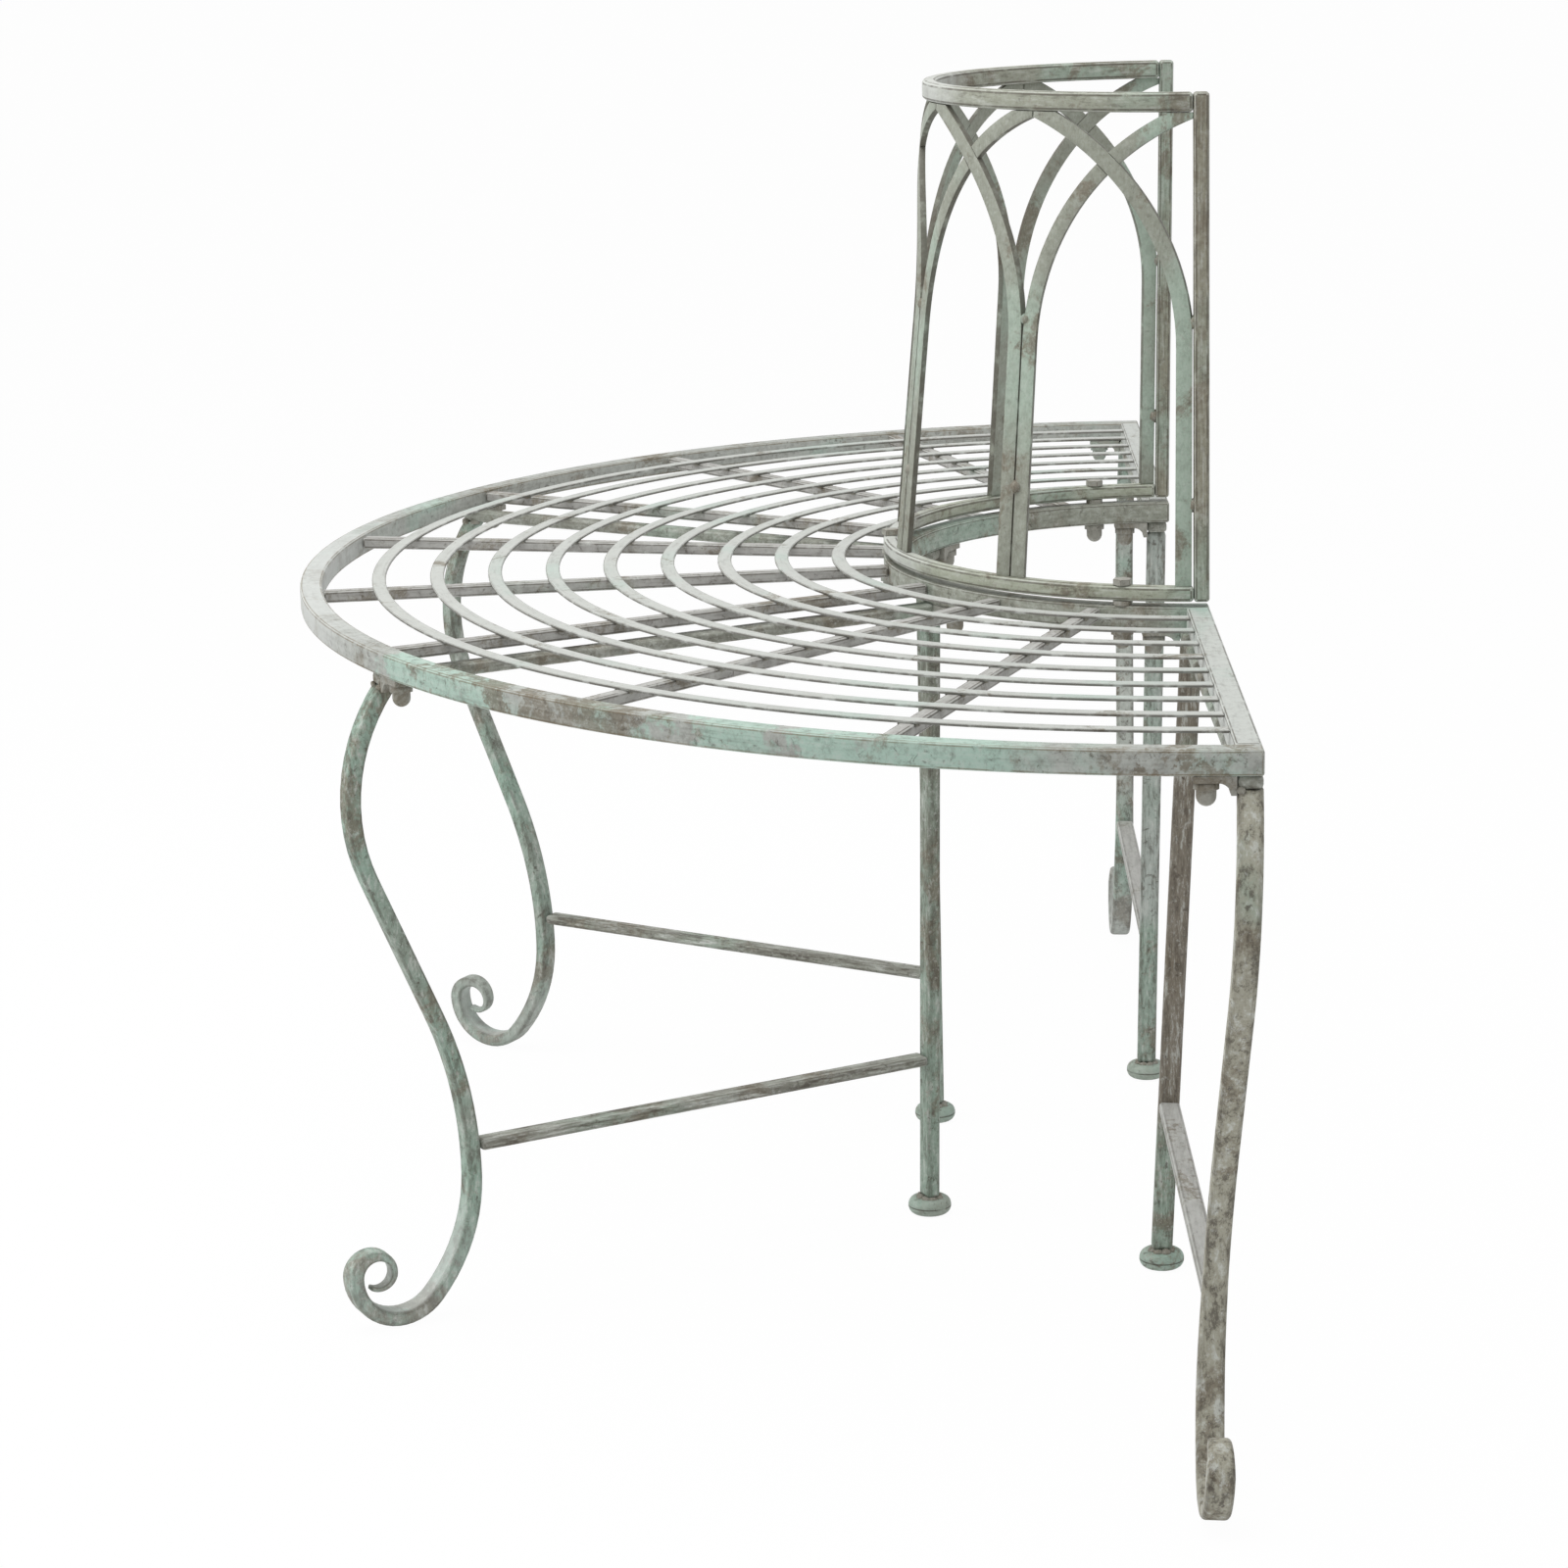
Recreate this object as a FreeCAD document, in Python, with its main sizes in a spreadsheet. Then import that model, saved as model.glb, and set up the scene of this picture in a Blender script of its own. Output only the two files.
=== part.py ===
# Half-round tree bench in painted steel. Lengths in millimetres, angles in degrees.
# +Z is up, the curved front faces -Y, the straight cut side lies along X at the back.
# Angle 0 is the +X end, 90 the front, 180 the -X end, measured about the tree's centre.
import FreeCAD
import Part
import Sketcher
import math
import os

V = FreeCAD.Vector
doc = FreeCAD.newDocument("tree_bench")
sheet = doc.addObject("Spreadsheet::Sheet", "sizes")
working = doc.addObject("Spreadsheet::Sheet", "working")
sizes = {
    # Seat
    "seat_radius": 610,
    "cut_out": 3,
    "seat_top": 450,
    "rim_width": 15,
    "rim_height": 15,
    "inner_radius": 193,
    "ring_count": 9,
    "ring_width": 9.5,
    "ring_thick": 1.8,
    "ring_in": 48.8,
    "ring_pitch": 39.6,
    "radial_width": 10,
    "radial_height": 8,
    "radial_count": 8,
    "fit_gap": 0.2,
    # Backrest, a half cone of five panels
    "total_height": 775,
    "hoop_bar": 10,
    "top_hoop_high": 12.5,
    "top_radius": 178,
    "spacer_height": 3,
    "spacer_over": 0.5,
    "post_angle": 2.2,
    "panel_count": 5,
    "strip_width": 10,
    "strip_thick": 4,
    "strip_gap": 1.2,
    "arch_radius": 165,
    "arch_spring": 147,
    "cross_gap": 0.3,
    # How far the cutting outlines run past what they cut
    "edge_over": 4,
    "start_over": 8,
    "cutter_over": 60,
    "arc_turn": 80,
    # Leg frames
    "bar_width": 14.5,
    "bar_thick": 8,
    "bar_end_in": 2.5,
    "leg_thick": 10,
    "leg_bulge": 123,
    "leg_slope": 23.3,
    "leg_run": 105,
    "leg_sweep": 286,
    "leg_heel": 115,
    "heel_turn": 42,
    "scroll_in": 3.5,
    "scroll_lift": 0.2,
    "scroll_big": 32,
    "scroll_outer": 17.25,
    "scroll_inner": 10,
    "tip_outer": 12,
    "tip_inner": 8.5,
    "tip_turn": 300,
    "scroll_width": 16.5,
    "flare_low": 50,
    "flare_high": 130,
    "inner_leg_in": 3,
    "inner_leg_width": 14,
    "stretcher_at": 113,
    "stretcher_thick": 7,
    "foot_width": 30,
    "foot_height": 11,
    "side_one": 10.7,
    "side_four": 5.9,
    "frame_angle_one": -0.6,
    "frame_angle_two": 59.4,
    "frame_angle_three": 119,
    "frame_angle_four": 180,
    "lean_angle_one": 2.4,
    "lean_angle_two": 1.2,
    "lean_angle_three": 1,
    "lean_angle_four": 0.85,
    # Ears, bolts and nuts
    "ear_reach": 24.2,
    "ear_thick": 4,
    "ear_long": 14,
    "gusset_radius": 7,
    "gusset_leg": 3,
    "ear_bolt_out": 16.5,
    "outer_bolt_in": 9,
    "inner_bolt_in": 8,
    "bolt_size": 6,
    "hole_size": 6.4,
    "hole_cover": 3,
    "cap_width": 12.5,
    "cap_height": 14,
    "cap_wall": 3,
    "bolt_short": 4,
    "bolt_head_width": 11,
    "bolt_head_height": 4,
    "bolt_angle_one": 15,
    "bolt_angle_two": 90,
    "bolt_angle_three": 165,
}

# Sizes worked out from them, as formulas of the sheet
derived = {
    "half_depth": "(seat_radius - cut_out) / 2",
    "rim_bottom": "seat_top - rim_height",
    "rim_inside": "seat_radius - rim_width",
    "inner_outside": "inner_radius + rim_width",
    "ring_first": "seat_radius - ring_in",
    "hoop_radius": "inner_outside",
    "hoop_bolt_at": "hoop_radius - hoop_bar / 2",
    "outer_bolt_at": "seat_radius - outer_bolt_in",
    "inner_bolt_at": "inner_outside - inner_bolt_in",
    "inner_leg_at": "inner_outside - inner_leg_in",
    "scroll_at": "seat_radius - scroll_in",
    "ring_bottom": "seat_top - ring_thick",
    "radial_bottom": "ring_bottom - radial_height",
    "radial_angle": "180 / (radial_count + 1)",
    "hoop_bottom": "seat_top + spacer_height",
    "hoop_top": "hoop_bottom + hoop_bar",
    "top_bottom": "total_height - top_hoop_high",
    "cone_high": "total_height - hoop_bottom",
    "cone_slope": "(hoop_radius - top_radius) / cone_high",
    "strip_out": "hoop_radius - hoop_bar / 2 + strip_thick / 2",
    "panel_angle": "(180 - 2 * post_angle) / panel_count",
    "strip_low": "hoop_top + fit_gap",
    "strip_high": "top_bottom - fit_gap",
    "edge_low": "(strip_out - strip_thick / 2) * sin(panel_angle / 2 * 1 deg)",
    "spring_height": "strip_low + arch_spring",
    "edge_spring": "edge_low * (1 - cone_slope * arch_spring / (strip_out - strip_thick / 2))",
    "arch_centre": "edge_spring - strip_width / 2 - arch_radius",
    "half_leg": "leg_thick / 2",
    "four_high": "scroll_big + half_leg + scroll_lift",
    "three_at": "scroll_at + (leg_heel - scroll_big) * cos(heel_turn * 1 deg)",
    "three_high": "four_high + (leg_heel - scroll_big) * sin(heel_turn * 1 deg)",
    "two_at": "three_at - leg_heel + leg_sweep",
    "run_low_at": "two_at - leg_sweep * cos(leg_slope * 1 deg)",
    "run_low_high": "three_high + leg_sweep * sin(leg_slope * 1 deg)",
    "run_top_at": "run_low_at + leg_run * sin(leg_slope * 1 deg)",
    "run_top_high": "run_low_high + leg_run * cos(leg_slope * 1 deg)",
    "one_at": "run_top_at - leg_bulge * cos(leg_slope * 1 deg)",
    "one_high": "run_top_high + leg_bulge * sin(leg_slope * 1 deg)",
    "bar_bottom": "rim_bottom - bar_thick",
    "leg_top": "bar_bottom - fit_gap",
}

for number, (name, value) in enumerate(list(sizes.items()) + list(derived.items()), 1):
    sheet.set("A%d" % number, name)
    sheet.set("B%d" % number, "=" + value if name in derived else str(value))
    sheet.setAlias("B%d" % number, name)
doc.recompute()


def val(name):
    return float(sheet.get(name))


def expr(text):
    # Put the sheet's name in front of every alias in a short formula.
    out = ""
    word = ""
    for letter in text + " ":
        if letter.isalpha() or letter == "_":
            word += letter
        else:
            if word and word not in ("cos", "sin", "deg", "rad"):
                word = "sizes." + word
            out += word + letter
            word = ""
    return out.strip()


def new_body(label):
    body = doc.addObject("PartDesign::Body", label)
    body.Label = label
    return body


def new_sketch(body, role):
    sketch = body.newObject("Sketcher::SketchObject", "outline")
    for feature in body.Origin.OriginFeatures:
        if feature.Role == role:
            sketch.AttachmentSupport = [(feature, "")]
    sketch.MapMode = "FlatFace"
    return sketch


def bind(sketch, kind, args, number, text):
    index = sketch.addConstraint(Sketcher.Constraint(kind, *args, number))
    sketch.setExpression("Constraints[%d]" % index, expr(text))
    return index


def add_rect(sketch, xlow, xhigh, ylow, yhigh):
    # Each side is a pair: the number now, and the formula that keeps it.
    spots = ((xlow, ylow), (xhigh, ylow), (xhigh, yhigh), (xlow, yhigh))
    corners = [V(x[0], y[0], 0) for x, y in spots]
    first = sketch.GeometryCount
    for k in range(4):
        sketch.addGeometry(Part.LineSegment(corners[k], corners[(k + 1) % 4]), False)
    for k in range(4):
        sketch.addConstraint(Sketcher.Constraint("Coincident", first + k, 2, first + (k + 1) % 4, 1))
    sketch.addConstraint(Sketcher.Constraint("Horizontal", first))
    sketch.addConstraint(Sketcher.Constraint("Vertical", first + 1))
    sketch.addConstraint(Sketcher.Constraint("Horizontal", first + 2))
    sketch.addConstraint(Sketcher.Constraint("Vertical", first + 3))
    bind(sketch, "DistanceX", (-1, 1, first, 1), xlow[0], xlow[1])
    bind(sketch, "DistanceX", (-1, 1, first, 2), xhigh[0], xhigh[1])
    bind(sketch, "DistanceY", (-1, 1, first, 1), ylow[0], ylow[1])
    bind(sketch, "DistanceY", (-1, 1, first + 2, 1), yhigh[0], yhigh[1])


known = {}


def num(text):
    # The present value of a short formula, worked out by a second sheet.
    if text not in known:
        working.set("A1", "=" + expr(text))
        working.recompute()
        value = working.get("A1")
        known[text] = float(getattr(value, "Value", value))
    return known[text]


def pair(text):
    return (num(text), text)


def add_poly(sketch, corners):
    # A closed outline with straight sides through corners given as pairs of formulas.
    first = sketch.GeometryCount
    points = [V(num(a), num(b), 0) for a, b in corners]
    count = len(points)
    for k in range(count):
        sketch.addGeometry(Part.LineSegment(points[k], points[(k + 1) % count]), False)
    for k in range(count):
        sketch.addConstraint(Sketcher.Constraint("Coincident", first + k, 2, first + (k + 1) % count, 1))
    for k in range(count):
        bind(sketch, "DistanceX", (-1, 1, first + k, 1), points[k].x, corners[k][0])
        bind(sketch, "DistanceY", (-1, 1, first + k, 1), points[k].y, corners[k][1])


def add_circle(sketch, radius):
    # A circle about the sketch's own centre.
    k = sketch.addGeometry(Part.Circle(V(0, 0, 0), V(0, 0, 1), num(radius)), False)
    bind(sketch, "Radius", (k,), num(radius), radius)
    sketch.addConstraint(Sketcher.Constraint("Coincident", k, 3, -1, 1))


def add_hexagon(sketch, across):
    # A hexagon about the sketch's own centre, by its width across the flats.
    first = sketch.GeometryCount
    text = "%s / 2 / cos(30 deg)" % across
    turns = [math.radians(60 * k) for k in range(6)]
    spots = [V(num(text) * math.cos(a), num(text) * math.sin(a), 0) for a in turns]
    for k in range(6):
        sketch.addGeometry(Part.LineSegment(spots[k], spots[(k + 1) % 6]), False)
    for k in range(6):
        sketch.addConstraint(Sketcher.Constraint("Coincident", first + k, 2, first + (k + 1) % 6, 1))
    for k in range(6):
        bind(sketch, "DistanceX", (-1, 1, first + k, 1), spots[k].x, "%s * cos(%d deg)" % (text, 60 * k))
        bind(sketch, "DistanceY", (-1, 1, first + k, 1), spots[k].y, "%s * sin(%d deg)" % (text, 60 * k))


def add_pad(body, sketch, length, midplane=False):
    pad = body.newObject("PartDesign::Pad", "pad")
    pad.Profile = sketch
    pad.setExpression("Length", expr(length))
    pad.Midplane = midplane
    sketch.Visibility = False
    doc.recompute()
    return pad


def add_cut(body, sketch, reverse=False, midplane=True, length=None):
    cut = body.newObject("PartDesign::Pocket", "cut")
    cut.Profile = sketch
    cut.Midplane = midplane
    cut.Reversed = reverse
    if length:
        cut.setExpression("Length", expr(length))
    else:
        cut.Type = 1
    sketch.Visibility = False
    doc.recompute()
    return cut


def turn(body, angle, high="0", out="0", side="0"):
    # Stands a piece drawn about the tree's centre at its angle, height and place.
    body.setExpression("Placement.Rotation.Axis.x", "0")
    body.setExpression("Placement.Rotation.Axis.y", "0")
    body.setExpression("Placement.Rotation.Axis.z", "1")
    body.setExpression("Placement.Rotation.Angle", "0 - " + expr("(" + angle + ")"))
    place(body, angle, high, out, side)


def place(body, angle, high, out, side):
    turned = "((" + angle + ") * 1 deg)"
    body.setExpression("Placement.Base.x", expr("(%s) * cos%s + (%s) * sin%s" % (out, turned, side, turned)))
    body.setExpression(
        "Placement.Base.y", expr("half_depth - (%s) * sin%s + (%s) * cos%s" % (out, turned, side, turned))
    )
    body.setExpression("Placement.Base.z", expr(high))


def half_ring(label, outer, inner, thick, high, gap):
    # A half ring of flat or square bar. Its straight ends lie in front of the tree's centre by
    # the gap, or behind it where the gap is negative.
    body = new_body(label)
    sketch = new_sketch(body, "XY_Plane")
    big = num(outer)
    small = num(inner)
    cut = num(gap)
    for radius in (big, small):
        turn_in = math.asin(cut / radius)
        circle = Part.Circle(V(0, 0, 0), V(0, 0, 1), radius)
        sketch.addGeometry(Part.ArcOfCircle(circle, math.pi + turn_in, 2 * math.pi - turn_in), False)
    right = math.sqrt(big**2 - cut**2)
    left = math.sqrt(small**2 - cut**2)
    sketch.addGeometry(Part.LineSegment(V(left, -cut, 0), V(right, -cut, 0)), False)
    sketch.addGeometry(Part.LineSegment(V(-left, -cut, 0), V(-right, -cut, 0)), False)
    sketch.addConstraint(Sketcher.Constraint("Coincident", 0, 3, -1, 1))
    sketch.addConstraint(Sketcher.Constraint("Coincident", 1, 3, -1, 1))
    sketch.addConstraint(Sketcher.Constraint("Coincident", 2, 2, 0, 2))
    sketch.addConstraint(Sketcher.Constraint("Coincident", 2, 1, 1, 2))
    sketch.addConstraint(Sketcher.Constraint("Coincident", 3, 2, 0, 1))
    sketch.addConstraint(Sketcher.Constraint("Coincident", 3, 1, 1, 1))
    bind(sketch, "Radius", (0,), big, outer)
    bind(sketch, "Radius", (1,), small, inner)
    for line in (2, 3):
        sketch.addConstraint(Sketcher.Constraint("Horizontal", line))
        if cut > 0:
            bind(sketch, "DistanceY", (line, 1, -1, 1), cut, gap)
        else:
            bind(sketch, "DistanceY", (-1, 1, line, 1), -cut, "0 - (%s)" % gap)
    add_pad(body, sketch, thick)
    turn(body, "0", high)
    return body


def round_holes(body, spots, length=None):
    # Spots are pairs: distance from the centre along and across the frame, then the frame's angle.
    sketch = new_sketch(body, "XY_Plane")
    for out, side, angle in spots:
        turned = "((%s) * 1 deg)" % angle
        x = "(%s) * cos%s + (%s) * sin%s" % (out, turned, side, turned)
        y = "0 - (%s) * sin%s + (%s) * cos%s" % (out, turned, side, turned)
        radius = num("hole_size / 2")
        k = sketch.addGeometry(Part.Circle(V(num(x), num(y), 0), V(0, 0, 1), radius), False)
        bind(sketch, "Radius", (k,), radius, "hole_size / 2")
        bind(sketch, "DistanceX", (-1, 1, k, 3), num(x), x)
        bind(sketch, "DistanceY", (-1, 1, k, 3), num(y), y)
    if length:
        add_cut(body, sketch, reverse=True, midplane=False, length=length)
    else:
        add_cut(body, sketch)


frames = [
    ("right", "frame_angle_one", "0 - side_one", "lean_angle_one", -1),
    ("front_right", "frame_angle_two", "0", "lean_angle_two", 1),
    ("front_left", "frame_angle_three", "0", "lean_angle_three", -1),
    ("left", "frame_angle_four", "side_four", "lean_angle_four", 1),
]
parts = []


def bolt_side(frame):
    name, angle, side, lean, hand = frame
    return "%s + (%d) * (bar_width / 2 + ear_bolt_out)" % (side, hand)


# Seat: two rims, two end bars, eight radial bars and nine flat rings
outer_rim = half_ring(
    "seat_outer_rim", "seat_radius", "rim_inside", "rim_height", "rim_bottom", "0 - cut_out"
)
round_holes(outer_rim, [("outer_bolt_at", bolt_side(f), f[1]) for f in frames], "rim_height - hole_cover")
inner_rim = half_ring(
    "seat_inner_rim", "inner_outside", "inner_radius", "rim_height", "rim_bottom", "0 - cut_out"
)
round_holes(inner_rim, [("inner_bolt_at", bolt_side(f), f[1]) for f in frames], "rim_height - hole_cover")
backs = ("bolt_angle_one", "bolt_angle_two", "bolt_angle_three")
round_holes(inner_rim, [("hoop_bolt_at", "0", a) for a in backs])
parts += [outer_rim, inner_rim]

for name, angle, low, high in (
    ("right", "0", "cut_out - rim_width", "cut_out"), ("left", "180", "0 - cut_out", "rim_width - cut_out"),
):
    body = new_body("end_bar_" + name)
    sketch = new_sketch(body, "XY_Plane")
    add_rect(
        sketch, pair("inner_outside + fit_gap"), pair("rim_inside - 2 * fit_gap"), pair(low), pair(high)
    )
    add_pad(body, sketch, "rim_height")
    turn(body, angle, "rim_bottom")
    parts.append(body)

for k in range(1, int(val("radial_count")) + 1):
    body = new_body("radial_bar_%d" % k)
    sketch = new_sketch(body, "XY_Plane")
    add_rect(
        sketch, pair("inner_outside + fit_gap"), pair("rim_inside - 1.2 * fit_gap"),
        pair("0 - radial_width / 2"), pair("radial_width / 2"),
    )
    add_pad(body, sketch, "radial_height")
    turn(body, "%d * radial_angle" % k, "radial_bottom")
    parts.append(body)

for k in range(int(val("ring_count"))):
    outer = "ring_first - %d * ring_pitch" % k
    parts.append(
        half_ring("seat_ring_%d" % (k + 1), outer, outer + " - ring_width", "ring_thick", "ring_bottom",
                  "rim_width + fit_gap - cut_out")
    )

# Backrest: two hoops, two end posts
lower = half_ring(
    "back_bottom_hoop", "hoop_radius", "hoop_radius - hoop_bar", "hoop_bar", "hoop_bottom",
    "hoop_bar + fit_gap - cut_out",
)
round_holes(lower, [("hoop_bolt_at", "0", a) for a in backs])
upper = half_ring(
    "back_top_hoop", "top_radius", "top_radius - hoop_bar", "top_hoop_high", "top_bottom",
    "hoop_bar + fit_gap - cut_out",
)
parts += [lower, upper]

for name, angle, side in (("right", "0", "cut_out"), ("left", "180", "0 - cut_out")):
    body = new_body("back_post_" + name)
    sketch = new_sketch(body, "XZ_Plane")
    add_poly(sketch, [
        ("hoop_radius - hoop_bar", "hoop_bottom"), ("hoop_radius", "hoop_bottom"),
        ("top_radius", "total_height"), ("top_radius - hoop_bar", "total_height"),
    ])
    pad = add_pad(body, sketch, "hoop_bar")
    if name == "left":
        pad.Reversed = True
    turn(body, angle, side=side)
    parts.append(body)


def panel_strip(label, hand, extra):
    # One arch strip of a panel: a slice of the cone, cut to a straight leg that runs into an arc.
    body = new_body(label)
    sketch = new_sketch(body, "YZ_Plane")
    add_poly(sketch, [
        ("0 - strip_out", "strip_low"), ("0 - strip_out + strip_thick", "strip_low"),
        ("0 - strip_out + strip_thick + cone_slope * (strip_high - strip_low)", "strip_high"),
        ("0 - strip_out + cone_slope * (strip_high - strip_low)", "strip_high"),
    ])
    slab = body.newObject("PartDesign::Revolution", "slab")
    slab.Profile = sketch
    for feature in body.Origin.OriginFeatures:
        if feature.Role == "Z_Axis":
            slab.ReferenceAxis = (feature, [""])
    slab.Midplane = True
    slab.setExpression("Angle", expr("panel_angle * 1 deg - strip_gap / strip_out * 1 rad"))
    sketch.Visibility = False
    doc.recompute()
    sketch = new_sketch(body, "XZ_Plane")
    add_rect(
        sketch, pair("0 - seat_radius"), pair("seat_radius"), pair("strip_low - cutter_over"),
        pair("strip_high + cutter_over"),
    )
    wide = strip_side(sketch, hand, "edge_low + %s + edge_over" % extra, "strip_width / 2 + %s" % extra)
    slim = strip_side(
        sketch, hand, "edge_low - strip_width - %s" % extra, "0 - strip_width / 2 - %s" % extra
    )
    for a, b in zip(wide, slim):
        start = sketch.getPoint(*a)
        finish = sketch.getPoint(*b)
        k = sketch.addGeometry(Part.LineSegment(start, finish), False)
        sketch.addConstraint(Sketcher.Constraint("Coincident", k, 1, a[0], a[1]))
        sketch.addConstraint(Sketcher.Constraint("Coincident", k, 2, b[0], b[1]))
    add_cut(body, sketch)
    return body


def strip_side(sketch, sign, low_text, arc_out):
    # One long side of a strip: a straight line tangent to an arc about the arch centre.
    radius = num("arch_radius + " + arc_out)
    cx = sign * num("arch_centre")
    cz = num("spring_height")
    lx = sign * num(low_text)
    lz = num("strip_low - start_over")
    dist = math.hypot(lx - cx, lz - cz)
    base = math.atan2(lz - cz, lx - cx)
    swing = math.acos(min(1.0, radius / dist))
    touch = base + sign * swing
    tx = cx + radius * math.cos(touch)
    tz = cz + radius * math.sin(touch)
    line = sketch.addGeometry(Part.LineSegment(V(lx, lz, 0), V(tx, tz, 0)), False)
    circle = Part.Circle(V(cx, cz, 0), V(0, 0, 1), radius)
    last = math.radians(val("arc_turn"))
    if sign > 0:
        arc = sketch.addGeometry(Part.ArcOfCircle(circle, touch, last), False)
    else:
        arc = sketch.addGeometry(Part.ArcOfCircle(circle, math.pi - last, touch), False)
    begin, end = (1, 2) if sign > 0 else (2, 1)
    sketch.addConstraint(Sketcher.Constraint("Tangent", line, 2, arc, begin))
    flip = "" if sign > 0 else "0 - "
    bind(sketch, "DistanceX", (-1, 1, arc, 3), cx, flip + "arch_centre")
    bind(sketch, "DistanceY", (-1, 1, arc, 3), cz, "spring_height")
    bind(sketch, "Radius", (arc,), radius, "arch_radius + " + arc_out)
    bind(sketch, "DistanceX", (-1, 1, line, 1), lx, flip + "(" + low_text + ")")
    bind(sketch, "DistanceY", (-1, 1, line, 1), lz, "strip_low - start_over")
    ex = cx + radius * math.cos(last if sign > 0 else math.pi - last)
    end_text = "(arch_centre + (arch_radius + %s) * cos(arc_turn * 1 deg))" % arc_out
    bind(sketch, "DistanceX", (-1, 1, arc, end), ex, flip + end_text)
    return [(line, 1), (arc, end)]


for k in range(1, int(val("panel_count")) + 1):
    angle = "post_angle + panel_angle * %s - 90" % (k - 0.5)
    through = panel_strip("arch_through_%d" % k, 1, "0")
    turn(through, angle)
    full = panel_strip("arch_whole_%d" % k, -1, "0")
    tool = panel_strip("arch_slot_%d" % k, 1, "cross_gap")
    cut = doc.addObject("Part::Cut", "arch_cut_%d" % k)
    cut.Base = full
    cut.Tool = tool
    cut.Label = "arch_cut_%d" % k
    doc.recompute()
    turn(cut, angle)
    parts += [through, cut]


def add_arc(sketch, at, high, radius, start, finish):
    circle = Part.Circle(V(num(at), num(high), 0), V(0, 0, 1), num(radius))
    arc = Part.ArcOfCircle(circle, math.radians(start), math.radians(finish))
    k = sketch.addGeometry(arc, False)
    bind(sketch, "Radius", (k,), num(radius), radius)
    return k


def pin_centre(sketch, arc, at, high):
    bind(sketch, "DistanceX", (-1, 1, arc, 3), num(at), at)
    bind(sketch, "DistanceY", (-1, 1, arc, 3), num(high), high)


def leg_side(sketch, sign, small, last):
    # One long side of the leg from its top to the tip of the scroll, every joint smooth.
    more = "(%d) * half_leg" % sign
    less = "(%d) * half_leg" % -sign
    slope = val("leg_slope")
    heel = val("heel_turn")
    bulge = "leg_bulge + " + more
    sweep = "leg_sweep + " + less
    under = "leg_heel + " + less
    four = "scroll_big + " + less
    five_at = "scroll_at + scroll_big + %s - %s" % (less, small)
    six_at = "scroll_at + scroll_big + %s - 2 * %s + %s" % (less, small, last)
    top = math.degrees(math.asin((val("leg_top") - val("one_high")) / num(bulge)))
    one = add_arc(sketch, "one_at", "one_high", bulge, -slope, top)
    pin_centre(sketch, one, "one_at", "one_high")
    two = add_arc(sketch, "two_at", "three_high", sweep, 180 - slope, 180)
    pin_centre(sketch, two, "two_at", "three_high")
    run = sketch.addGeometry(Part.LineSegment(sketch.getPoint(one, 1), sketch.getPoint(two, 1)), False)
    sketch.addConstraint(Sketcher.Constraint("Tangent", one, 1, run, 1))
    sketch.addConstraint(Sketcher.Constraint("Tangent", run, 2, two, 1))
    three = add_arc(sketch, "three_at", "three_high", under, 180, 180 + heel)
    arc_four = add_arc(sketch, "scroll_at", "four_high", four, 180 + heel, 360)
    arc_five = add_arc(sketch, five_at, "four_high", small, 0, 180)
    arc_six = add_arc(sketch, six_at, "four_high", last, 180, val("tip_turn"))
    for k, j in ((two, three), (three, arc_four), (arc_four, arc_five), (arc_five, arc_six)):
        sketch.addConstraint(Sketcher.Constraint("Tangent", k, 2, j, 1))
        if k != three:
            sketch.addConstraint(Sketcher.Constraint("Horizontal", k, 2, k, 3))
    low = "three_high - (%s) * sin(heel_turn * 1 deg)" % under
    bind(sketch, "DistanceY", (-1, 1, three, 2), num(low), low)
    tip = "%s + %s * cos(tip_turn * 1 deg)" % (six_at, last)
    bind(sketch, "DistanceX", (-1, 1, arc_six, 2), num(tip), tip)
    return one, arc_six


def outer_leg(label):
    body = new_body(label)
    sketch = new_sketch(body, "XZ_Plane")
    wide, curl_in = leg_side(sketch, 1, "scroll_inner", "tip_inner")
    slim, curl_out = leg_side(sketch, -1, "scroll_outer", "tip_outer")
    for first, second in ((wide, slim), (curl_in, curl_out)):
        ends = (sketch.getPoint(first, 2), sketch.getPoint(second, 2))
        k = sketch.addGeometry(Part.LineSegment(ends[0], ends[1]), False)
        sketch.addConstraint(Sketcher.Constraint("Coincident", k, 1, first, 2))
        sketch.addConstraint(Sketcher.Constraint("Coincident", k, 2, second, 2))
        if first == wide:
            sketch.addConstraint(Sketcher.Constraint("Horizontal", k))
            bind(sketch, "DistanceY", (-1, 1, k, 1), val("leg_top"), "leg_top")
    add_pad(body, sketch, "scroll_width", True)
    # The bar is narrower than the scroll: two long cuts down the sides, seen from the front.
    for sign in (1, -1):
        sketch = new_sketch(body, "YZ_Plane")
        flip = "" if sign > 0 else "0 - "
        beyond = flip + "(scroll_width / 2 + cutter_over)"
        above = "leg_top + cutter_over"
        add_poly(sketch, [
            (flip + "bar_width / 2", above), (flip + "bar_width / 2", "flare_high"),
            (flip + "scroll_width / 2", "flare_low"), (beyond, "flare_low"), (beyond, above),
        ])
        add_cut(body, sketch)
    return body


def plain_box(label, xlow, xhigh, width, thick):
    body = new_body(label)
    sketch = new_sketch(body, "XY_Plane")
    add_rect(sketch, pair(xlow), pair(xhigh), pair("0 - %s / 2" % width), pair("%s / 2" % width))
    add_pad(body, sketch, thick)
    return body


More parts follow.
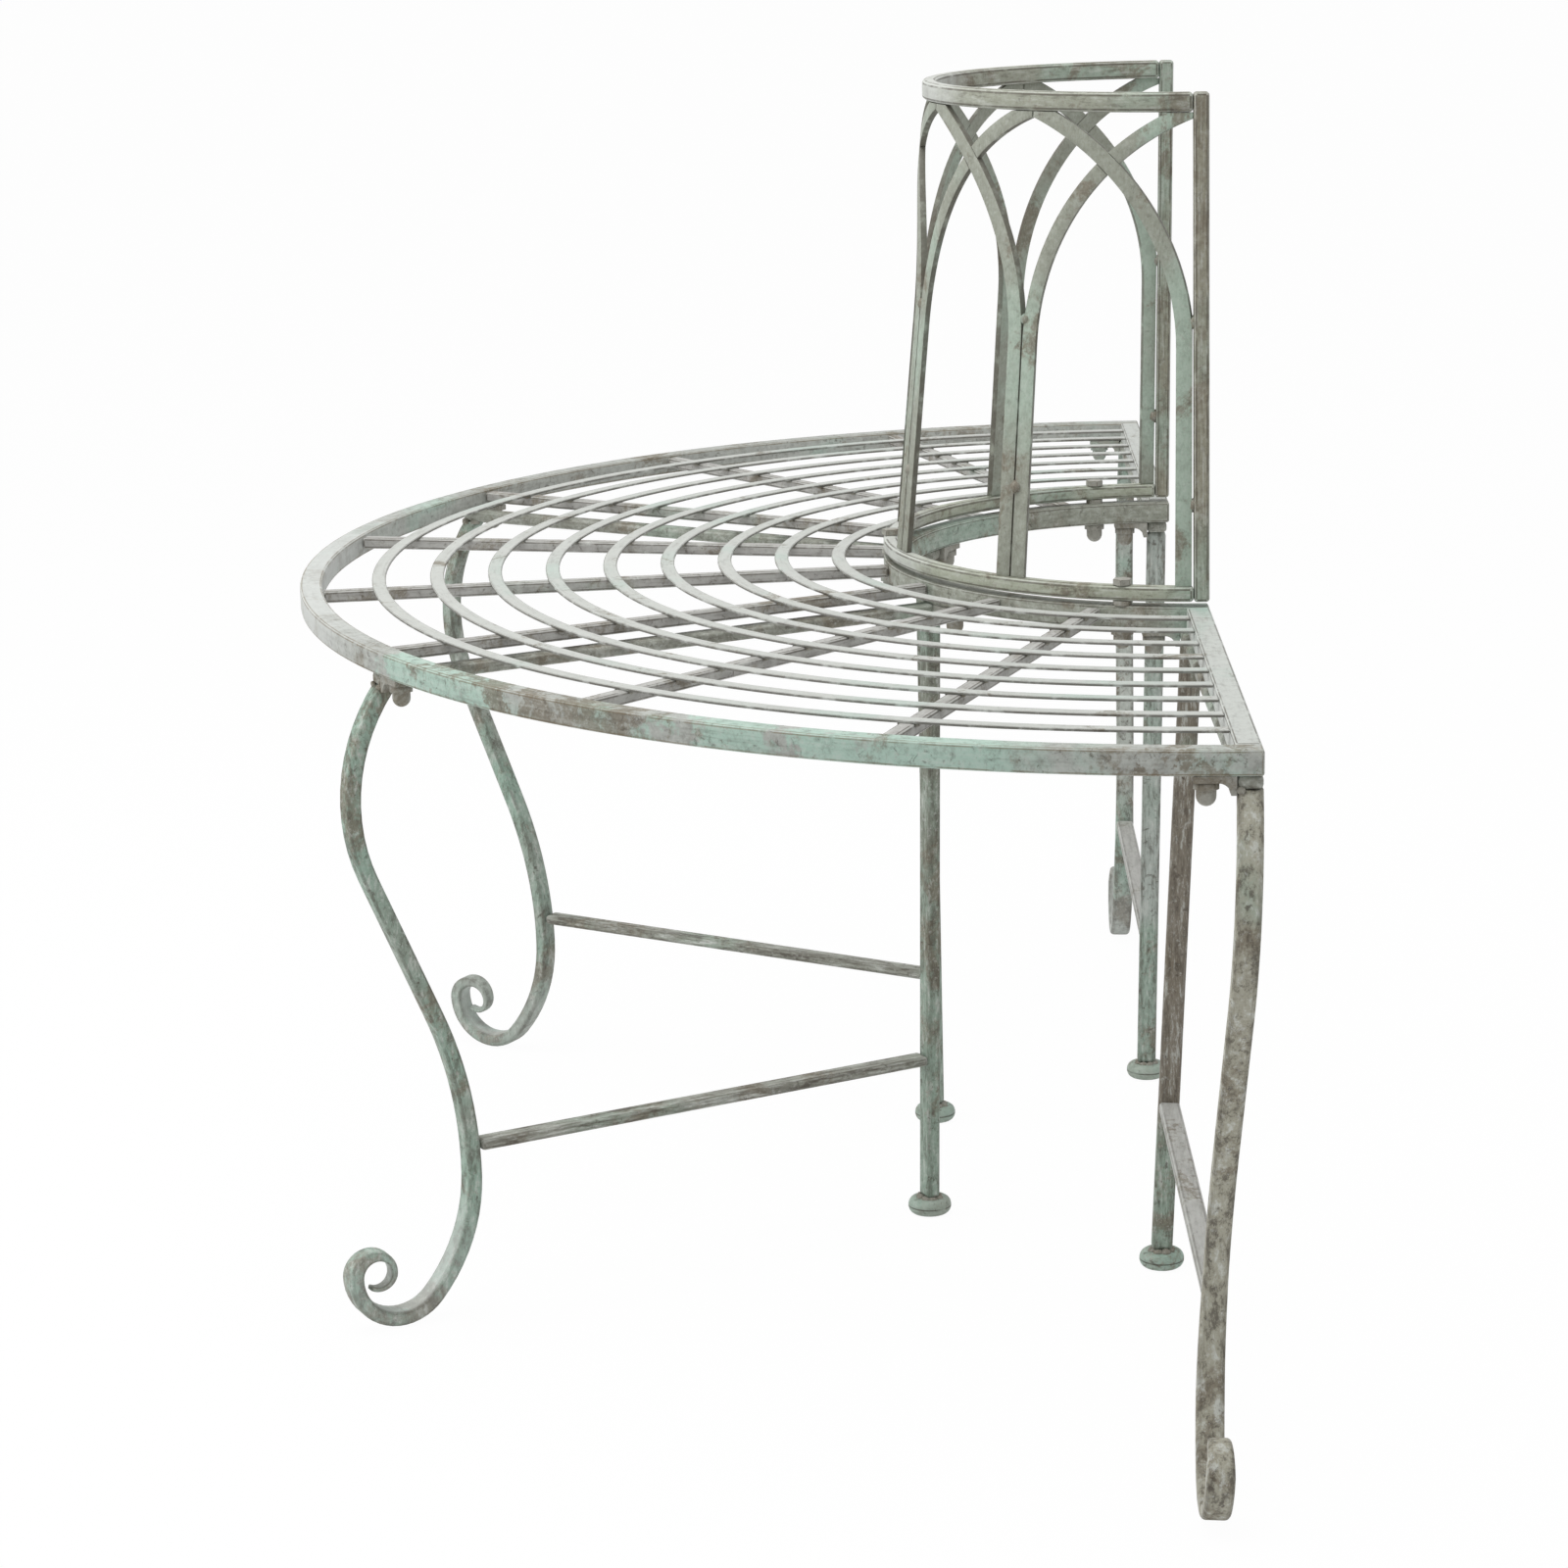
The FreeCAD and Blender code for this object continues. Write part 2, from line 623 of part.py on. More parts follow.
def lean_piece(body, frame, low):
    # Leans a piece about the top of its frame, sideways, then stands it at the frame's angle.
    name, angle, side, lean, hand = frame
    base = V(0, num(side), val("leg_top"))
    tilt = FreeCAD.Rotation(V(1, 0, 0), -hand_of(frame) * val(lean))
    shift = FreeCAD.Placement(base, FreeCAD.Rotation()).multiply(FreeCAD.Placement(V(0, 0, 0), tilt))
    shift = shift.multiply(FreeCAD.Placement(V(0, 0, num(low) - val("leg_top")), FreeCAD.Rotation()))
    stand = FreeCAD.Placement(V(0, val("half_depth"), 0), FreeCAD.Rotation(V(0, 0, 1), -num(angle)))
    body.Placement = stand.multiply(shift)


def hand_of(frame):
    # The feet of the end frames lean away from the cut plane.
    return 1 if frame[0] != "left" else -1


def foot_shift(frame, drop):
    return "%s - (%d) * %s * sin(%s * 1 deg)" % (frame[2], hand_of(frame), drop, frame[3])


for frame in frames:
    name = frame[0]
    leg = outer_leg("outer_leg_" + name)
    lean_piece(leg, frame, "0")
    inner = plain_box(
        "inner_leg_" + name, "inner_leg_at - half_leg", "inner_leg_at + half_leg", "inner_leg_width",
        "leg_top - foot_height - 2 * fit_gap",
    )
    lean_piece(inner, frame, "foot_height + 2 * fit_gap")
    reach = "two_at - (leg_sweep + half_leg) - 2 * fit_gap"
    stretcher = plain_box(
        "stretcher_" + name, "inner_leg_at + half_leg + fit_gap", reach, "inner_leg_width", "stretcher_thick"
    )
    lean_piece(stretcher, frame, "stretcher_at - stretcher_thick / 2")
    bar = plain_box(
        "top_bar_" + name, "inner_radius + bar_end_in", "seat_radius - bar_end_in", "bar_width", "bar_thick"
    )
    turn(bar, frame[1], "bar_bottom", "0", frame[2])
    foot = new_body("foot_" + name)
    sketch = new_sketch(foot, "XY_Plane")
    add_circle(sketch, "foot_width / 2")
    add_pad(foot, sketch, "foot_height")
    turn(foot, frame[1], "0", "inner_leg_at", foot_shift(frame, "(leg_top - foot_height)"))
    parts += [leg, inner, stretcher, bar, foot]


def group(label, pieces):
    whole = doc.addObject("Part::Compound", label)
    whole.Label = label
    whole.Links = pieces
    doc.recompute()
    return whole


def ear(label, frame, outer):
    body = new_body(label)
    sketch = new_sketch(body, "YZ_Plane")
    hand = frame[4]
    flip = "" if hand > 0 else "0 - "
    half = "bar_width / 2 + fit_gap" if outer else "inner_leg_width / 2"
    near = "%s(%s + fit_gap)" % (flip, half)
    side = "%s(bar_width / 2 + fit_gap)" % flip
    far = "%s(bar_width / 2 + ear_reach)" % flip
    inner = "%s(%s + fit_gap + gusset_leg)" % (flip, half)
    bend = "%s(%s + fit_gap + gusset_leg + gusset_radius)" % (flip, half)
    under = "rim_bottom - ear_thick"
    low = "rim_bottom - ear_thick - gusset_radius"
    points = [
        (side, "rim_bottom"), (far, "rim_bottom"), (far, under), (bend, under), (inner, low), (near, low),
        (near, "bar_bottom - fit_gap"), (side, "bar_bottom - fit_gap"),
    ]
    spots = [V(num(a), num(b), 0) for a, b in points]
    count = len(spots)
    for k in range(count):
        if k == 3:
            circle = Part.Circle(V(num(bend), num(low), 0), V(0, 0, 1), val("gusset_radius"))
            if hand > 0:
                sketch.addGeometry(Part.ArcOfCircle(circle, math.pi / 2, math.pi), False)
            else:
                sketch.addGeometry(Part.ArcOfCircle(circle, 0, math.pi / 2), False)
        else:
            sketch.addGeometry(Part.LineSegment(spots[k], spots[(k + 1) % count]), False)
    first = 1 if hand > 0 else 2
    last = 2 if hand > 0 else 1
    for k in range(count):
        finish = last if k == 3 else 2
        start = first if (k + 1) % count == 3 else 1
        sketch.addConstraint(Sketcher.Constraint("Coincident", k, finish, (k + 1) % count, start))
    for k in range(count):
        pos = first if k == 3 else 1
        bind(sketch, "DistanceX", (-1, 1, k, pos), spots[k].x, points[k][0])
        bind(sketch, "DistanceY", (-1, 1, k, pos), spots[k].y, points[k][1])
    bind(sketch, "Radius", (3,), val("gusset_radius"), "gusset_radius")
    add_pad(body, sketch, "ear_long", True)
    sketch = new_sketch(body, "XY_Plane")
    y = "%s(bar_width / 2 + ear_bolt_out)" % flip
    k = sketch.addGeometry(Part.Circle(V(0, num(y), 0), V(0, 0, 1), num("hole_size / 2")), False)
    bind(sketch, "Radius", (k,), num("hole_size / 2"), "hole_size / 2")
    bind(sketch, "DistanceY", (-1, 1, k, 3), num(y), y)
    sketch.addConstraint(Sketcher.Constraint("PointOnObject", k, 3, -2))
    add_cut(body, sketch)
    turn(body, frame[1], "0", "outer_bolt_at" if outer else "inner_bolt_at", frame[2])
    return body


def turned_piece(label, corners):
    body = new_body(label)
    sketch = new_sketch(body, "XZ_Plane")
    add_poly(sketch, corners)
    disc = body.newObject("PartDesign::Revolution", "disc")
    disc.Profile = sketch
    for feature in body.Origin.OriginFeatures:
        if feature.Role == "Z_Axis":
            disc.ReferenceAxis = (feature, [""])
    disc.Angle = 360
    sketch.Visibility = False
    doc.recompute()
    return body


def cap_nut(label):
    # A closed nut that hangs from its seat, with a blind hole from above.
    body = new_body(label)
    sketch = new_sketch(body, "XY_Plane")
    add_hexagon(sketch, "cap_width")
    pad = add_pad(body, sketch, "cap_height")
    pad.Reversed = True
    doc.recompute()
    sketch = new_sketch(body, "XY_Plane")
    add_circle(sketch, "hole_size / 2")
    add_cut(body, sketch, midplane=False, length="cap_height - cap_wall")
    return body


ears = []
bolts = []
nuts = []
for frame in frames:
    for outer in (True, False):
        end = "outer" if outer else "inner"
        name = frame[0] + "_" + end
        ears.append(ear("ear_" + name, frame, outer))
        at = "outer_bolt_at" if outer else "inner_bolt_at"
        shank = turned_piece("shank_" + name, [
            ("0", "rim_bottom - ear_thick - cap_height + bolt_short"),
            ("bolt_size / 2", "rim_bottom - ear_thick - cap_height + bolt_short"),
            ("bolt_size / 2", "seat_top - bolt_short"), ("0", "seat_top - bolt_short"),
        ])
        turn(shank, frame[1], "0", at, bolt_side(frame))
        bolts.append(shank)
        nut = cap_nut("nut_" + name)
        turn(nut, frame[1], "rim_bottom - ear_thick - fit_gap / 2", at, bolt_side(frame))
        nuts.append(nut)

back_bolts = []
spacers = []
for n, angle in enumerate(backs):
    bolt = new_body("back_bolt_%d" % (n + 1))
    sketch = new_sketch(bolt, "XY_Plane")
    add_hexagon(sketch, "bolt_head_width")
    add_pad(bolt, sketch, "bolt_head_height")
    sketch = new_sketch(bolt, "XY_Plane")
    add_circle(sketch, "bolt_size / 2")
    pad = add_pad(bolt, sketch, "hoop_top - rim_bottom + cap_height - bolt_short")
    pad.Reversed = True
    turn(bolt, angle, "hoop_top + fit_gap / 2", "hoop_bolt_at")
    back_bolts.append(bolt)
    ring = turned_piece("back_spacer_%d" % (n + 1), [
        ("hole_size / 2", "fit_gap / 4"), ("bolt_head_width / 2 + spacer_over", "fit_gap / 4"),
        ("bolt_head_width / 2 + spacer_over", "spacer_height - fit_gap / 4"),
        ("hole_size / 2", "spacer_height - fit_gap / 4"),
    ])
    turn(ring, angle, "seat_top", "hoop_bolt_at")
    spacers.append(ring)
    nut = cap_nut("back_nut_%d" % (n + 1))
    turn(nut, angle, "rim_bottom - fit_gap / 2", "hoop_bolt_at")
    nuts.append(nut)

parts += [
    group("leg_ears", ears), group("leg_bolts", bolts), group("cap_nuts", nuts),
    group("back_bolts", back_bolts), group("back_spacers", spacers),
]

doc.recompute()
bad = [thing for thing in doc.Objects if "Invalid" in thing.State or "Error" in thing.State]
for thing in bad:
    print("bad state:", thing.Label, [p.Label for p in thing.InList], thing.State)
if bad:
    raise RuntimeError("bad state in %d objects" % len(bad))
os.makedirs("parts", exist_ok=True)
for part in parts:
    if part.Shape.isNull() or not part.Shape.isValid():
        raise RuntimeError("bad shape: " + part.Label)
    part.Shape.exportStep("parts/" + part.Label + ".step")
    box = part.Shape.BoundBox
    print(part.Label, len(part.Shape.Solids), "solids", [round(v, 1) for v in (
        box.XMin, box.XMax, box.YMin, box.YMax, box.ZMin, box.ZMax)])
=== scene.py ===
"""Half-round tree bench of welded steel bar in distressed grey-green paint. Lengths in metres."""
import bpy
import bmesh
import math
import random
from mathutils import Matrix, Vector, noise


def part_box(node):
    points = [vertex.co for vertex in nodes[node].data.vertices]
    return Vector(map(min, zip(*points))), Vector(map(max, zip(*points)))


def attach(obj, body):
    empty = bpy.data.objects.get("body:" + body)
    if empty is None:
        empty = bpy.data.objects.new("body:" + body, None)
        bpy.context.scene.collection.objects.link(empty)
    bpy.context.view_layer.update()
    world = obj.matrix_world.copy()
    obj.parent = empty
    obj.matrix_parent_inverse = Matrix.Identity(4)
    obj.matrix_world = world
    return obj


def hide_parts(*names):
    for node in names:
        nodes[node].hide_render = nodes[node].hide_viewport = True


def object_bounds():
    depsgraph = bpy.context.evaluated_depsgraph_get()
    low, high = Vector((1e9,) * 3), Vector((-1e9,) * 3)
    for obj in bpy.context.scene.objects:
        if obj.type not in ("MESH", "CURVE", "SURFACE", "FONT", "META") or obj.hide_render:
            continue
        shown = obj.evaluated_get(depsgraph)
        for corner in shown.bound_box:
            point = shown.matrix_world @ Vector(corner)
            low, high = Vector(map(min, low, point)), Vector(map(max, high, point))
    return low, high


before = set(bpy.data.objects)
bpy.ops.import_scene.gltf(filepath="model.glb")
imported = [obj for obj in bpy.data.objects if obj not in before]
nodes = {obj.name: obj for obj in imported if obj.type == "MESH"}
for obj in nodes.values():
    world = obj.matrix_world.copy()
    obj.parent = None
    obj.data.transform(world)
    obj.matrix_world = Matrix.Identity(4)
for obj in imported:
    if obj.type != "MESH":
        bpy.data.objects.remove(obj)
cad_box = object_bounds()
scene = bpy.context.scene

# Seat rims
# Two half circles of 15 mm square steel bar, bent to shape, carry the seat, and all its other bars
# are welded to them. The outer one has the greenest paint, rubbed to brown in places, and the inner
# one is olive.
SEAT_RADIUS = 0.610
RIM_BAR = 0.015
RIM_ROUND = 0.0016
OUTER_RIM_STEPS = 128
HALF_TURN_STEPS = 96
tree = Vector((0.0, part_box("seat_outer_rim")[0].y + SEAT_RADIUS, 0.0))


def soften(bm, radius, steps=3):
    # Rounds the sharp edges. The layer "edge" is 1 on the crest of a rounding and 0.5 on its sides.
    # Curved walls are shaded smooth, and flats stay flat.
    marks = bm.faces.layers.float["edge"]
    sharp_turn = math.radians(40)
    least_bend = math.radians(0.05)
    most_bend = math.radians(25)
    sharp = [e for e in bm.edges if e.is_manifold and e.calc_face_angle() > sharp_turn]
    rounds = bmesh.ops.bevel(
        bm, geom=sharp, offset=radius, offset_type="OFFSET", segments=steps, profile=0.5,
        affect="EDGES", clamp_overlap=True, material=-1,
    )["faces"]
    rounded = set(rounds)
    for face in bm.faces:
        beside = [f for e in face.edges for f in e.link_faces if f is not face]
        if face in rounded:
            face.smooth = True
            face[marks] = 1.0 if all(f in rounded for f in beside) else 0.5
        else:
            turns = [face.normal.angle(f.normal, 0.0) for f in beside if f not in rounded]
            face.smooth = any(least_bend < t < most_bend for t in turns)


def half_ring(node, width, radius, steps):
    # A bar bent to a half circle about the tree, with both ends cut flush in one plane.
    low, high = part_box(node)
    outside = tree.y - low.y
    behind = high.y - tree.y
    turn_in = math.asin(behind / (outside - width / 2))
    same_turn = 1e-4
    bm = bmesh.new()
    bm.faces.layers.float.new("edge")
    start = Matrix.Rotation(turn_in, 3, "Z")
    spots = ((outside, low.z), (outside, high.z), (outside - width, high.z), (outside - width, low.z))
    corners = [bm.verts.new(tree + start @ Vector((out, 0, z))) for out, z in spots]
    loop = [bm.edges.new((corners[k], corners[(k + 1) % 4])) for k in range(4)]
    bmesh.ops.spin(
        bm, geom=corners + loop, cent=tree, axis=(0, 0, -1), angle=math.pi + 2 * turn_in, steps=steps,
        use_merge=False,
    )
    # The end corners slide along their own circles into the cut plane
    for vert in bm.verts:
        reach = vert.co - tree
        side = math.copysign(1.0, reach.x)
        if abs(math.atan2(reach.y, abs(reach.x)) - turn_in) < same_turn:
            out = math.hypot(reach.x, reach.y)
            vert.co.x = side * math.sqrt(out ** 2 - behind ** 2)
            vert.co.y = high.y
    bmesh.ops.holes_fill(bm, edges=[e for e in bm.edges if e.is_boundary], sides=4)
    bmesh.ops.recalc_face_normals(bm, faces=bm.faces)
    soften(bm, radius)
    return bm


def add_piece(bm, name, finish, slot, *replaced):
    # A finished piece on the bench's one body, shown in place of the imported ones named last.
    mesh = bpy.data.meshes.new(name)
    bm.to_mesh(mesh)
    bm.free()
    mesh.materials.append(finish)
    piece = bpy.data.objects.new(name, mesh)
    scene.collection.objects.link(piece)
    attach(piece, "root")
    if replaced:
        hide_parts(*replaced)
    return piece


TURQUOISE = (0.335, 0.480, 0.405, 1.0)
UNDERCOAT = (0.200, 0.172, 0.128, 1.0)
DARK = (0.080, 0.068, 0.052, 1.0)
CHALK_AND_HIGHLIGHT = (0.600, 0.620, 0.580, 1.0)
PALE = (0.640, 0.660, 0.640, 1.0)
BLOOM_SIZE = 0.130
STAIN_SIZE = 0.055
BORDER_SIZE = 0.035
GRIT_SIZE = 0.004
STREAK_SIZE = 0.003
STREAK_LENGTH = 10.0
BLOTCH_SIZE = 0.0065
CHIP_SIZE = 0.0040
PIT_SIZE = 0.0060
CREST_WEAR_SIZE = 0.020
EDGE_LINE_BREAK_SIZE = 0.015
DENT_SIZE = 0.012
DENT_DEPTH = 0.0008
MIDDLE_REACH = 0.4
BORDER_WANDER = 0.22
MORE_BLOOM = 0.20
MORE_STAIN = 0.12
MORE_HIGHLIGHT = 0.62
MORE_DAMP = 0.30
PAINT_ROUGHNESS = 0.52
BARE_ROUGHNESS = 0.80
PAINT_GLOSS = 0.3
DENT_STRENGTH = 0.35


def paint(name, coat, grain, green=0.5, brown=0.4, fleck=0.5, streak=0.5, mottle=0.3, run=1.0,
          bloom=TURQUOISE, blooms=(), stains=(), highlight_stretches=(), damp=0.0, polished=0.7,
          edge_wear_and_painted_light=0.35, edge_shade_and_grime_line=0.7, shade_and_grime_colour=DARK):
    # Layers of rubbed paint over a coat of one colour, with painted highlights and painted shade among them.
    # The shares green, brown, fleck, streak and mottle say how much shows of the bloom, the undercoat, chips
    # and pits, thin streaks, and dark and chalky blotches. The grain runs "round" the tree, "out" from it,
    # "up" or has "none", and run is how much longer than wide the blotches are along it.
    # Blooms and stains are stretches that are greener or browner, and the pale stretches are paler, as
    # painted highlight where the light falls. Each is a middle and a half width in degrees from the bench's
    # right end. Below the height damp the bloom is thicker.
    # Polished is how pale worn places are. The crest share says how chalky rounded edges are, rubbed and
    # with a painted highlight, or how dark they are painted, partly grime and partly shade, if it is
    # below 0. The line share says how strong the thin line beside them is, partly grime and partly
    # painted shade, and the line colour is the colour of that line.
    mat = bpy.data.materials.new(name)
    mat.use_nodes = True
    nt = mat.node_tree
    nt.nodes.clear()

    def add(kind, **values):
        node = nt.nodes.new(kind)
        for key, value in values.items():
            setattr(node, key, value)
        return node

    def link(source, node, socket):
        if isinstance(source, (int, float, tuple)):
            node.inputs[socket].default_value = source
        else:
            nt.links.new(source, node.inputs[socket])

    def sums(operation, a, b=0.0):
        node = add("ShaderNodeMath", operation=operation)
        link(a, node, 0)
        link(b, node, 1)
        return node.outputs[0]

    def cloud(vector, size, detail=5.0, roughness=0.6, warp=0.0):
        node = add("ShaderNodeTexNoise")
        link(vector, node, "Vector")
        link(1.0 / size, node, "Scale")
        link(detail, node, "Detail")
        link(roughness, node, "Roughness")
        link(warp, node, "Distortion")
        return node.outputs["Fac"]

    def step(source, low, high):
        node = add("ShaderNodeMapRange", interpolation_type="SMOOTHSTEP")
        link(source, node, "Value")
        link(low, node, "From Min")
        link(high, node, "From Max")
        return node.outputs["Result"]

    def over(mask, share, under, colour):
        node = add("ShaderNodeMix", data_type="RGBA")
        link(sums("MULTIPLY", mask, share), node, 0)
        link(under, node, 6)
        link(colour, node, 7)
        return node.outputs[2]

    out = add("ShaderNodeOutputMaterial")
    bsdf = add("ShaderNodeBsdfPrincipled")
    nt.links.new(bsdf.outputs["BSDF"], out.inputs["Surface"])
    place = add("ShaderNodeTexCoord").outputs["Object"]
    parts = add("ShaderNodeSeparateXYZ")
    link(place, parts, "Vector")
    ahead = sums("SUBTRACT", tree.y, parts.outputs["Y"])
    reach = sums("SQRT", sums("ADD", sums("MULTIPLY", parts.outputs["X"], parts.outputs["X"]),
                              sums("MULTIPLY", ahead, ahead)))
    round_tree = sums("MULTIPLY", sums("ARCTAN2", parts.outputs["X"], ahead), MIDDLE_REACH)

    def drawn(longer):
        # Places out from the tree, round it and up, squeezed along the grain
        node = add("ShaderNodeCombineXYZ")
        link(sums("MULTIPLY", reach, 1.0 / longer if grain == "out" else 1.0), node, "X")
        link(sums("MULTIPLY", round_tree, 1.0 / longer if grain == "round" else 1.0), node, "Y")
        link(sums("MULTIPLY", parts.outputs["Z"], 1.0 / longer if grain == "up" else 1.0), node, "Z")
        return node.outputs["Vector"]

    ragged = cloud(place, BORDER_SIZE, 5.0, 0.7)
    wander = sums("MULTIPLY", sums("SUBTRACT", ragged, 0.5), BORDER_WANDER)

    def stretches(source, spans, more):
        # Adds more of something in each span, with a ragged border
        for middle, half in spans:
            offset = sums("SUBTRACT", round_tree, MIDDLE_REACH * math.radians(90 - middle))
            border = MIDDLE_REACH * math.radians(half)
            near = step(sums("ADD", sums("ABSOLUTE", offset), wander), border, 0.375 * border)
            source = sums("ADD", source, sums("MULTIPLY", near, more))
        return source

    # Clouds of bloom and of undercoat, each broken up by fine grit
    grit = cloud(place, GRIT_SIZE, 4.0, 0.7)
    bloom_cloud = sums("ADD", cloud(place, BLOOM_SIZE, 4.0, 0.55, 0.5), sums("MULTIPLY", grit, 0.12))
    if damp:
        low = step(parts.outputs["Z"], 1.2 * damp, 0.8 * damp)
        bloom_cloud = sums("ADD", bloom_cloud, sums("MULTIPLY", low, MORE_DAMP))
    bloom_cloud = stretches(bloom_cloud, blooms, MORE_BLOOM)
    bloom_mask = step(bloom_cloud, 0.66 - 0.22 * green, 0.84 - 0.22 * green)
    stain_cloud = sums("ADD", cloud(place, STAIN_SIZE, 6.0, 0.68, 0.8), sums("MULTIPLY", grit, 0.35))
    stain_cloud = stretches(stain_cloud, stains, MORE_STAIN)
    stain_mask = step(stain_cloud, 0.84 - 0.30 * brown, 0.92 - 0.22 * brown)
    colour = over(bloom_mask, 0.85, coat, bloom)
    colour = over(stain_mask, 0.80, colour, UNDERCOAT)
    # Thin streaks and larger blotches, both dark and chalky
    streaks = cloud(drawn(STREAK_LENGTH), STREAK_SIZE, 5.0, 0.62)
    colour = over(step(streaks, 0.52, 0.68), 0.55 * streak, colour, DARK)
    colour = over(step(streaks, 0.50, 0.32), 0.55 * streak, colour, CHALK_AND_HIGHLIGHT)
    blotches = cloud(drawn(run) if run > 1.0 else place, BLOTCH_SIZE, 6.0, 0.80)
    colour = over(step(blotches, 0.49, 0.62), 0.60 * mottle, colour, DARK)
    colour = over(step(blotches, 0.48, 0.36), 0.60 * mottle, colour, CHALK_AND_HIGHLIGHT)
    # Chalky chips, and dark pits where rust has broken through
    chips = step(cloud(place, CHIP_SIZE, 4.0, 0.75), 0.56, 0.68)
    pits = step(cloud(place, PIT_SIZE, 5.0, 0.75, 0.6), 0.56, 0.68)
    colour = over(chips, 0.40 * fleck, colour, CHALK_AND_HIGHLIGHT)
    colour = over(pits, 0.75 * fleck, colour, DARK)
    # Worn places, and pale stretches that are painted highlight where the light falls
    polish = add("ShaderNodeAttribute", attribute_name="polish").outputs["Fac"]
    colour = over(polish, polished, colour, PALE)
    if highlight_stretches:
        colour = over(stretches(0.0, highlight_stretches, MORE_HIGHLIGHT), 1.0, colour, PALE)
    # Rounded edges: the crest is rubbed chalky with a painted highlight, or painted dark, partly grime and
    # partly shade, where the share is below 0. A thin line where the flat begins is partly grime and partly
    # painted shade
    edge = add("ShaderNodeAttribute", attribute_name="edge").outputs["Fac"]
    on_crest = step(edge, 0.6, 0.9)
    beside = sums("SUBTRACT", step(edge, 0.1, 0.4), on_crest)
    crest = sums("MULTIPLY", on_crest, step(cloud(place, CREST_WEAR_SIZE, 5.0, 0.65), 0.36, 0.56))
    line = sums("MULTIPLY", beside, step(cloud(place, EDGE_LINE_BREAK_SIZE, 4.0, 0.6), 0.30, 0.52))
    colour = over(crest, abs(edge_wear_and_painted_light), colour, CHALK_AND_HIGHLIGHT if edge_wear_and_painted_light > 0 else DARK)
    colour = over(line, edge_shade_and_grime_line, colour, shade_and_grime_colour)
    link(colour, bsdf, "Base Color")
    # Bare places are duller, and pits are sunk in
    dull = add("ShaderNodeMapRange")
    link(stain_mask, dull, "Value")
    link(PAINT_ROUGHNESS, dull, "To Min")
    link(BARE_ROUGHNESS, dull, "To Max")
    link(dull.outputs["Result"], bsdf, "Roughness")
    link(PAINT_GLOSS, bsdf, "Specular IOR Level")
    raised = sums("ADD", cloud(place, DENT_SIZE, 6.0, 0.65), sums("MULTIPLY", streaks, 0.4 * streak))
    bump = add("ShaderNodeBump")
    link(DENT_STRENGTH, bump, "Strength")
    link(DENT_DEPTH, bump, "Distance")
    link(sums("ADD", raised, sums("MULTIPLY", pits, -0.5)), bump, "Height")
    link(bump.outputs["Normal"], bsdf, "Normal")
    return mat


# The pale stretch at the front is painted highlight; the edge lines are grime and painted shade
rim_paint = paint(
    "rim_paint", (0.400, 0.415, 0.385, 1.0), "round", green=0.2, brown=0.45, fleck=0.8, mottle=0.45,
    bloom=(0.400, 0.565, 0.480, 1.0), blooms=((11, 17), (28, 7), (52, 7)), stains=((39, 9), (48, 5), (1, 3)),
    highlight_stretches=((84, 26),), edge_wear_and_painted_light=0.15, edge_shade_and_grime_line=0.6, shade_and_grime_colour=(0.165, 0.125, 0.070, 1.0),
)
add_piece(half_ring("seat_outer_rim", RIM_BAR, RIM_ROUND, OUTER_RIM_STEPS), "painted_outer_rim", rim_paint,
          "seat_paint", "seat_outer_rim")
inner_rim_paint = paint(
    "inner_rim_paint", (0.298, 0.312, 0.260, 1.0), "round", green=0.4, brown=0.5, fleck=0.9, mottle=0.5,
    bloom=(0.345, 0.450, 0.375, 1.0), blooms=((120, 25),), edge_wear_and_painted_light=0.15, edge_shade_and_grime_line=0.6,
)
add_piece(half_ring("seat_inner_rim", RIM_BAR, RIM_ROUND, HALF_TURN_STEPS), "painted_inner_rim",
          inner_rim_paint, "seat_paint", "seat_inner_rim")

# End bars
# Two lengths of the same square bar close the seat along the cut side, welded between the rims.
# Their tops have the palest paint of all.
END_ROUND = 0.0016
TOUCHING = 0.00001


def softened(node, radius, steps=3):
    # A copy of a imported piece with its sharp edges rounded.
    flat_turn = math.radians(0.3)
    bm = bmesh.new()
    bm.from_mesh(nodes[node].data)
    bm.faces.layers.float.new("edge")
    bmesh.ops.remove_doubles(bm, verts=bm.verts, dist=TOUCHING)
    bmesh.ops.dissolve_limit(bm, angle_limit=flat_turn, verts=bm.verts, edges=bm.edges)
    soften(bm, radius, steps)
    return bm


end_paint = paint("end_paint", (0.510, 0.530, 0.500, 1.0), "out", green=0.05, brown=0.15, fleck=0.3,
                  streak=0.3)
for name in ("end_bar_right", "end_bar_left"):
    add_piece(softened(name, END_ROUND), "painted_" + name, end_paint, "seat_paint", name)

# Radial bars
# Eight flat steel bars run from the inner rim to the outer one under the rings, welded at both
# ends. Their grey paint is rubbed and stained most, with dark brown showing through.
RADIAL_ROUND = 0.0018
MOSS = (0.345, 0.425, 0.350, 1.0)
radial_paint = paint("spoke_paint", (0.420, 0.415, 0.395, 1.0), "out", green=0.1, brown=0.5, fleck=0.9,
                     streak=0.6, bloom=MOSS)
for name in sorted(nodes):
    if name.startswith("radial_bar"):
        add_piece(softened(name, RADIAL_ROUND), "painted_" + name, radial_paint, "seat_paint", name)

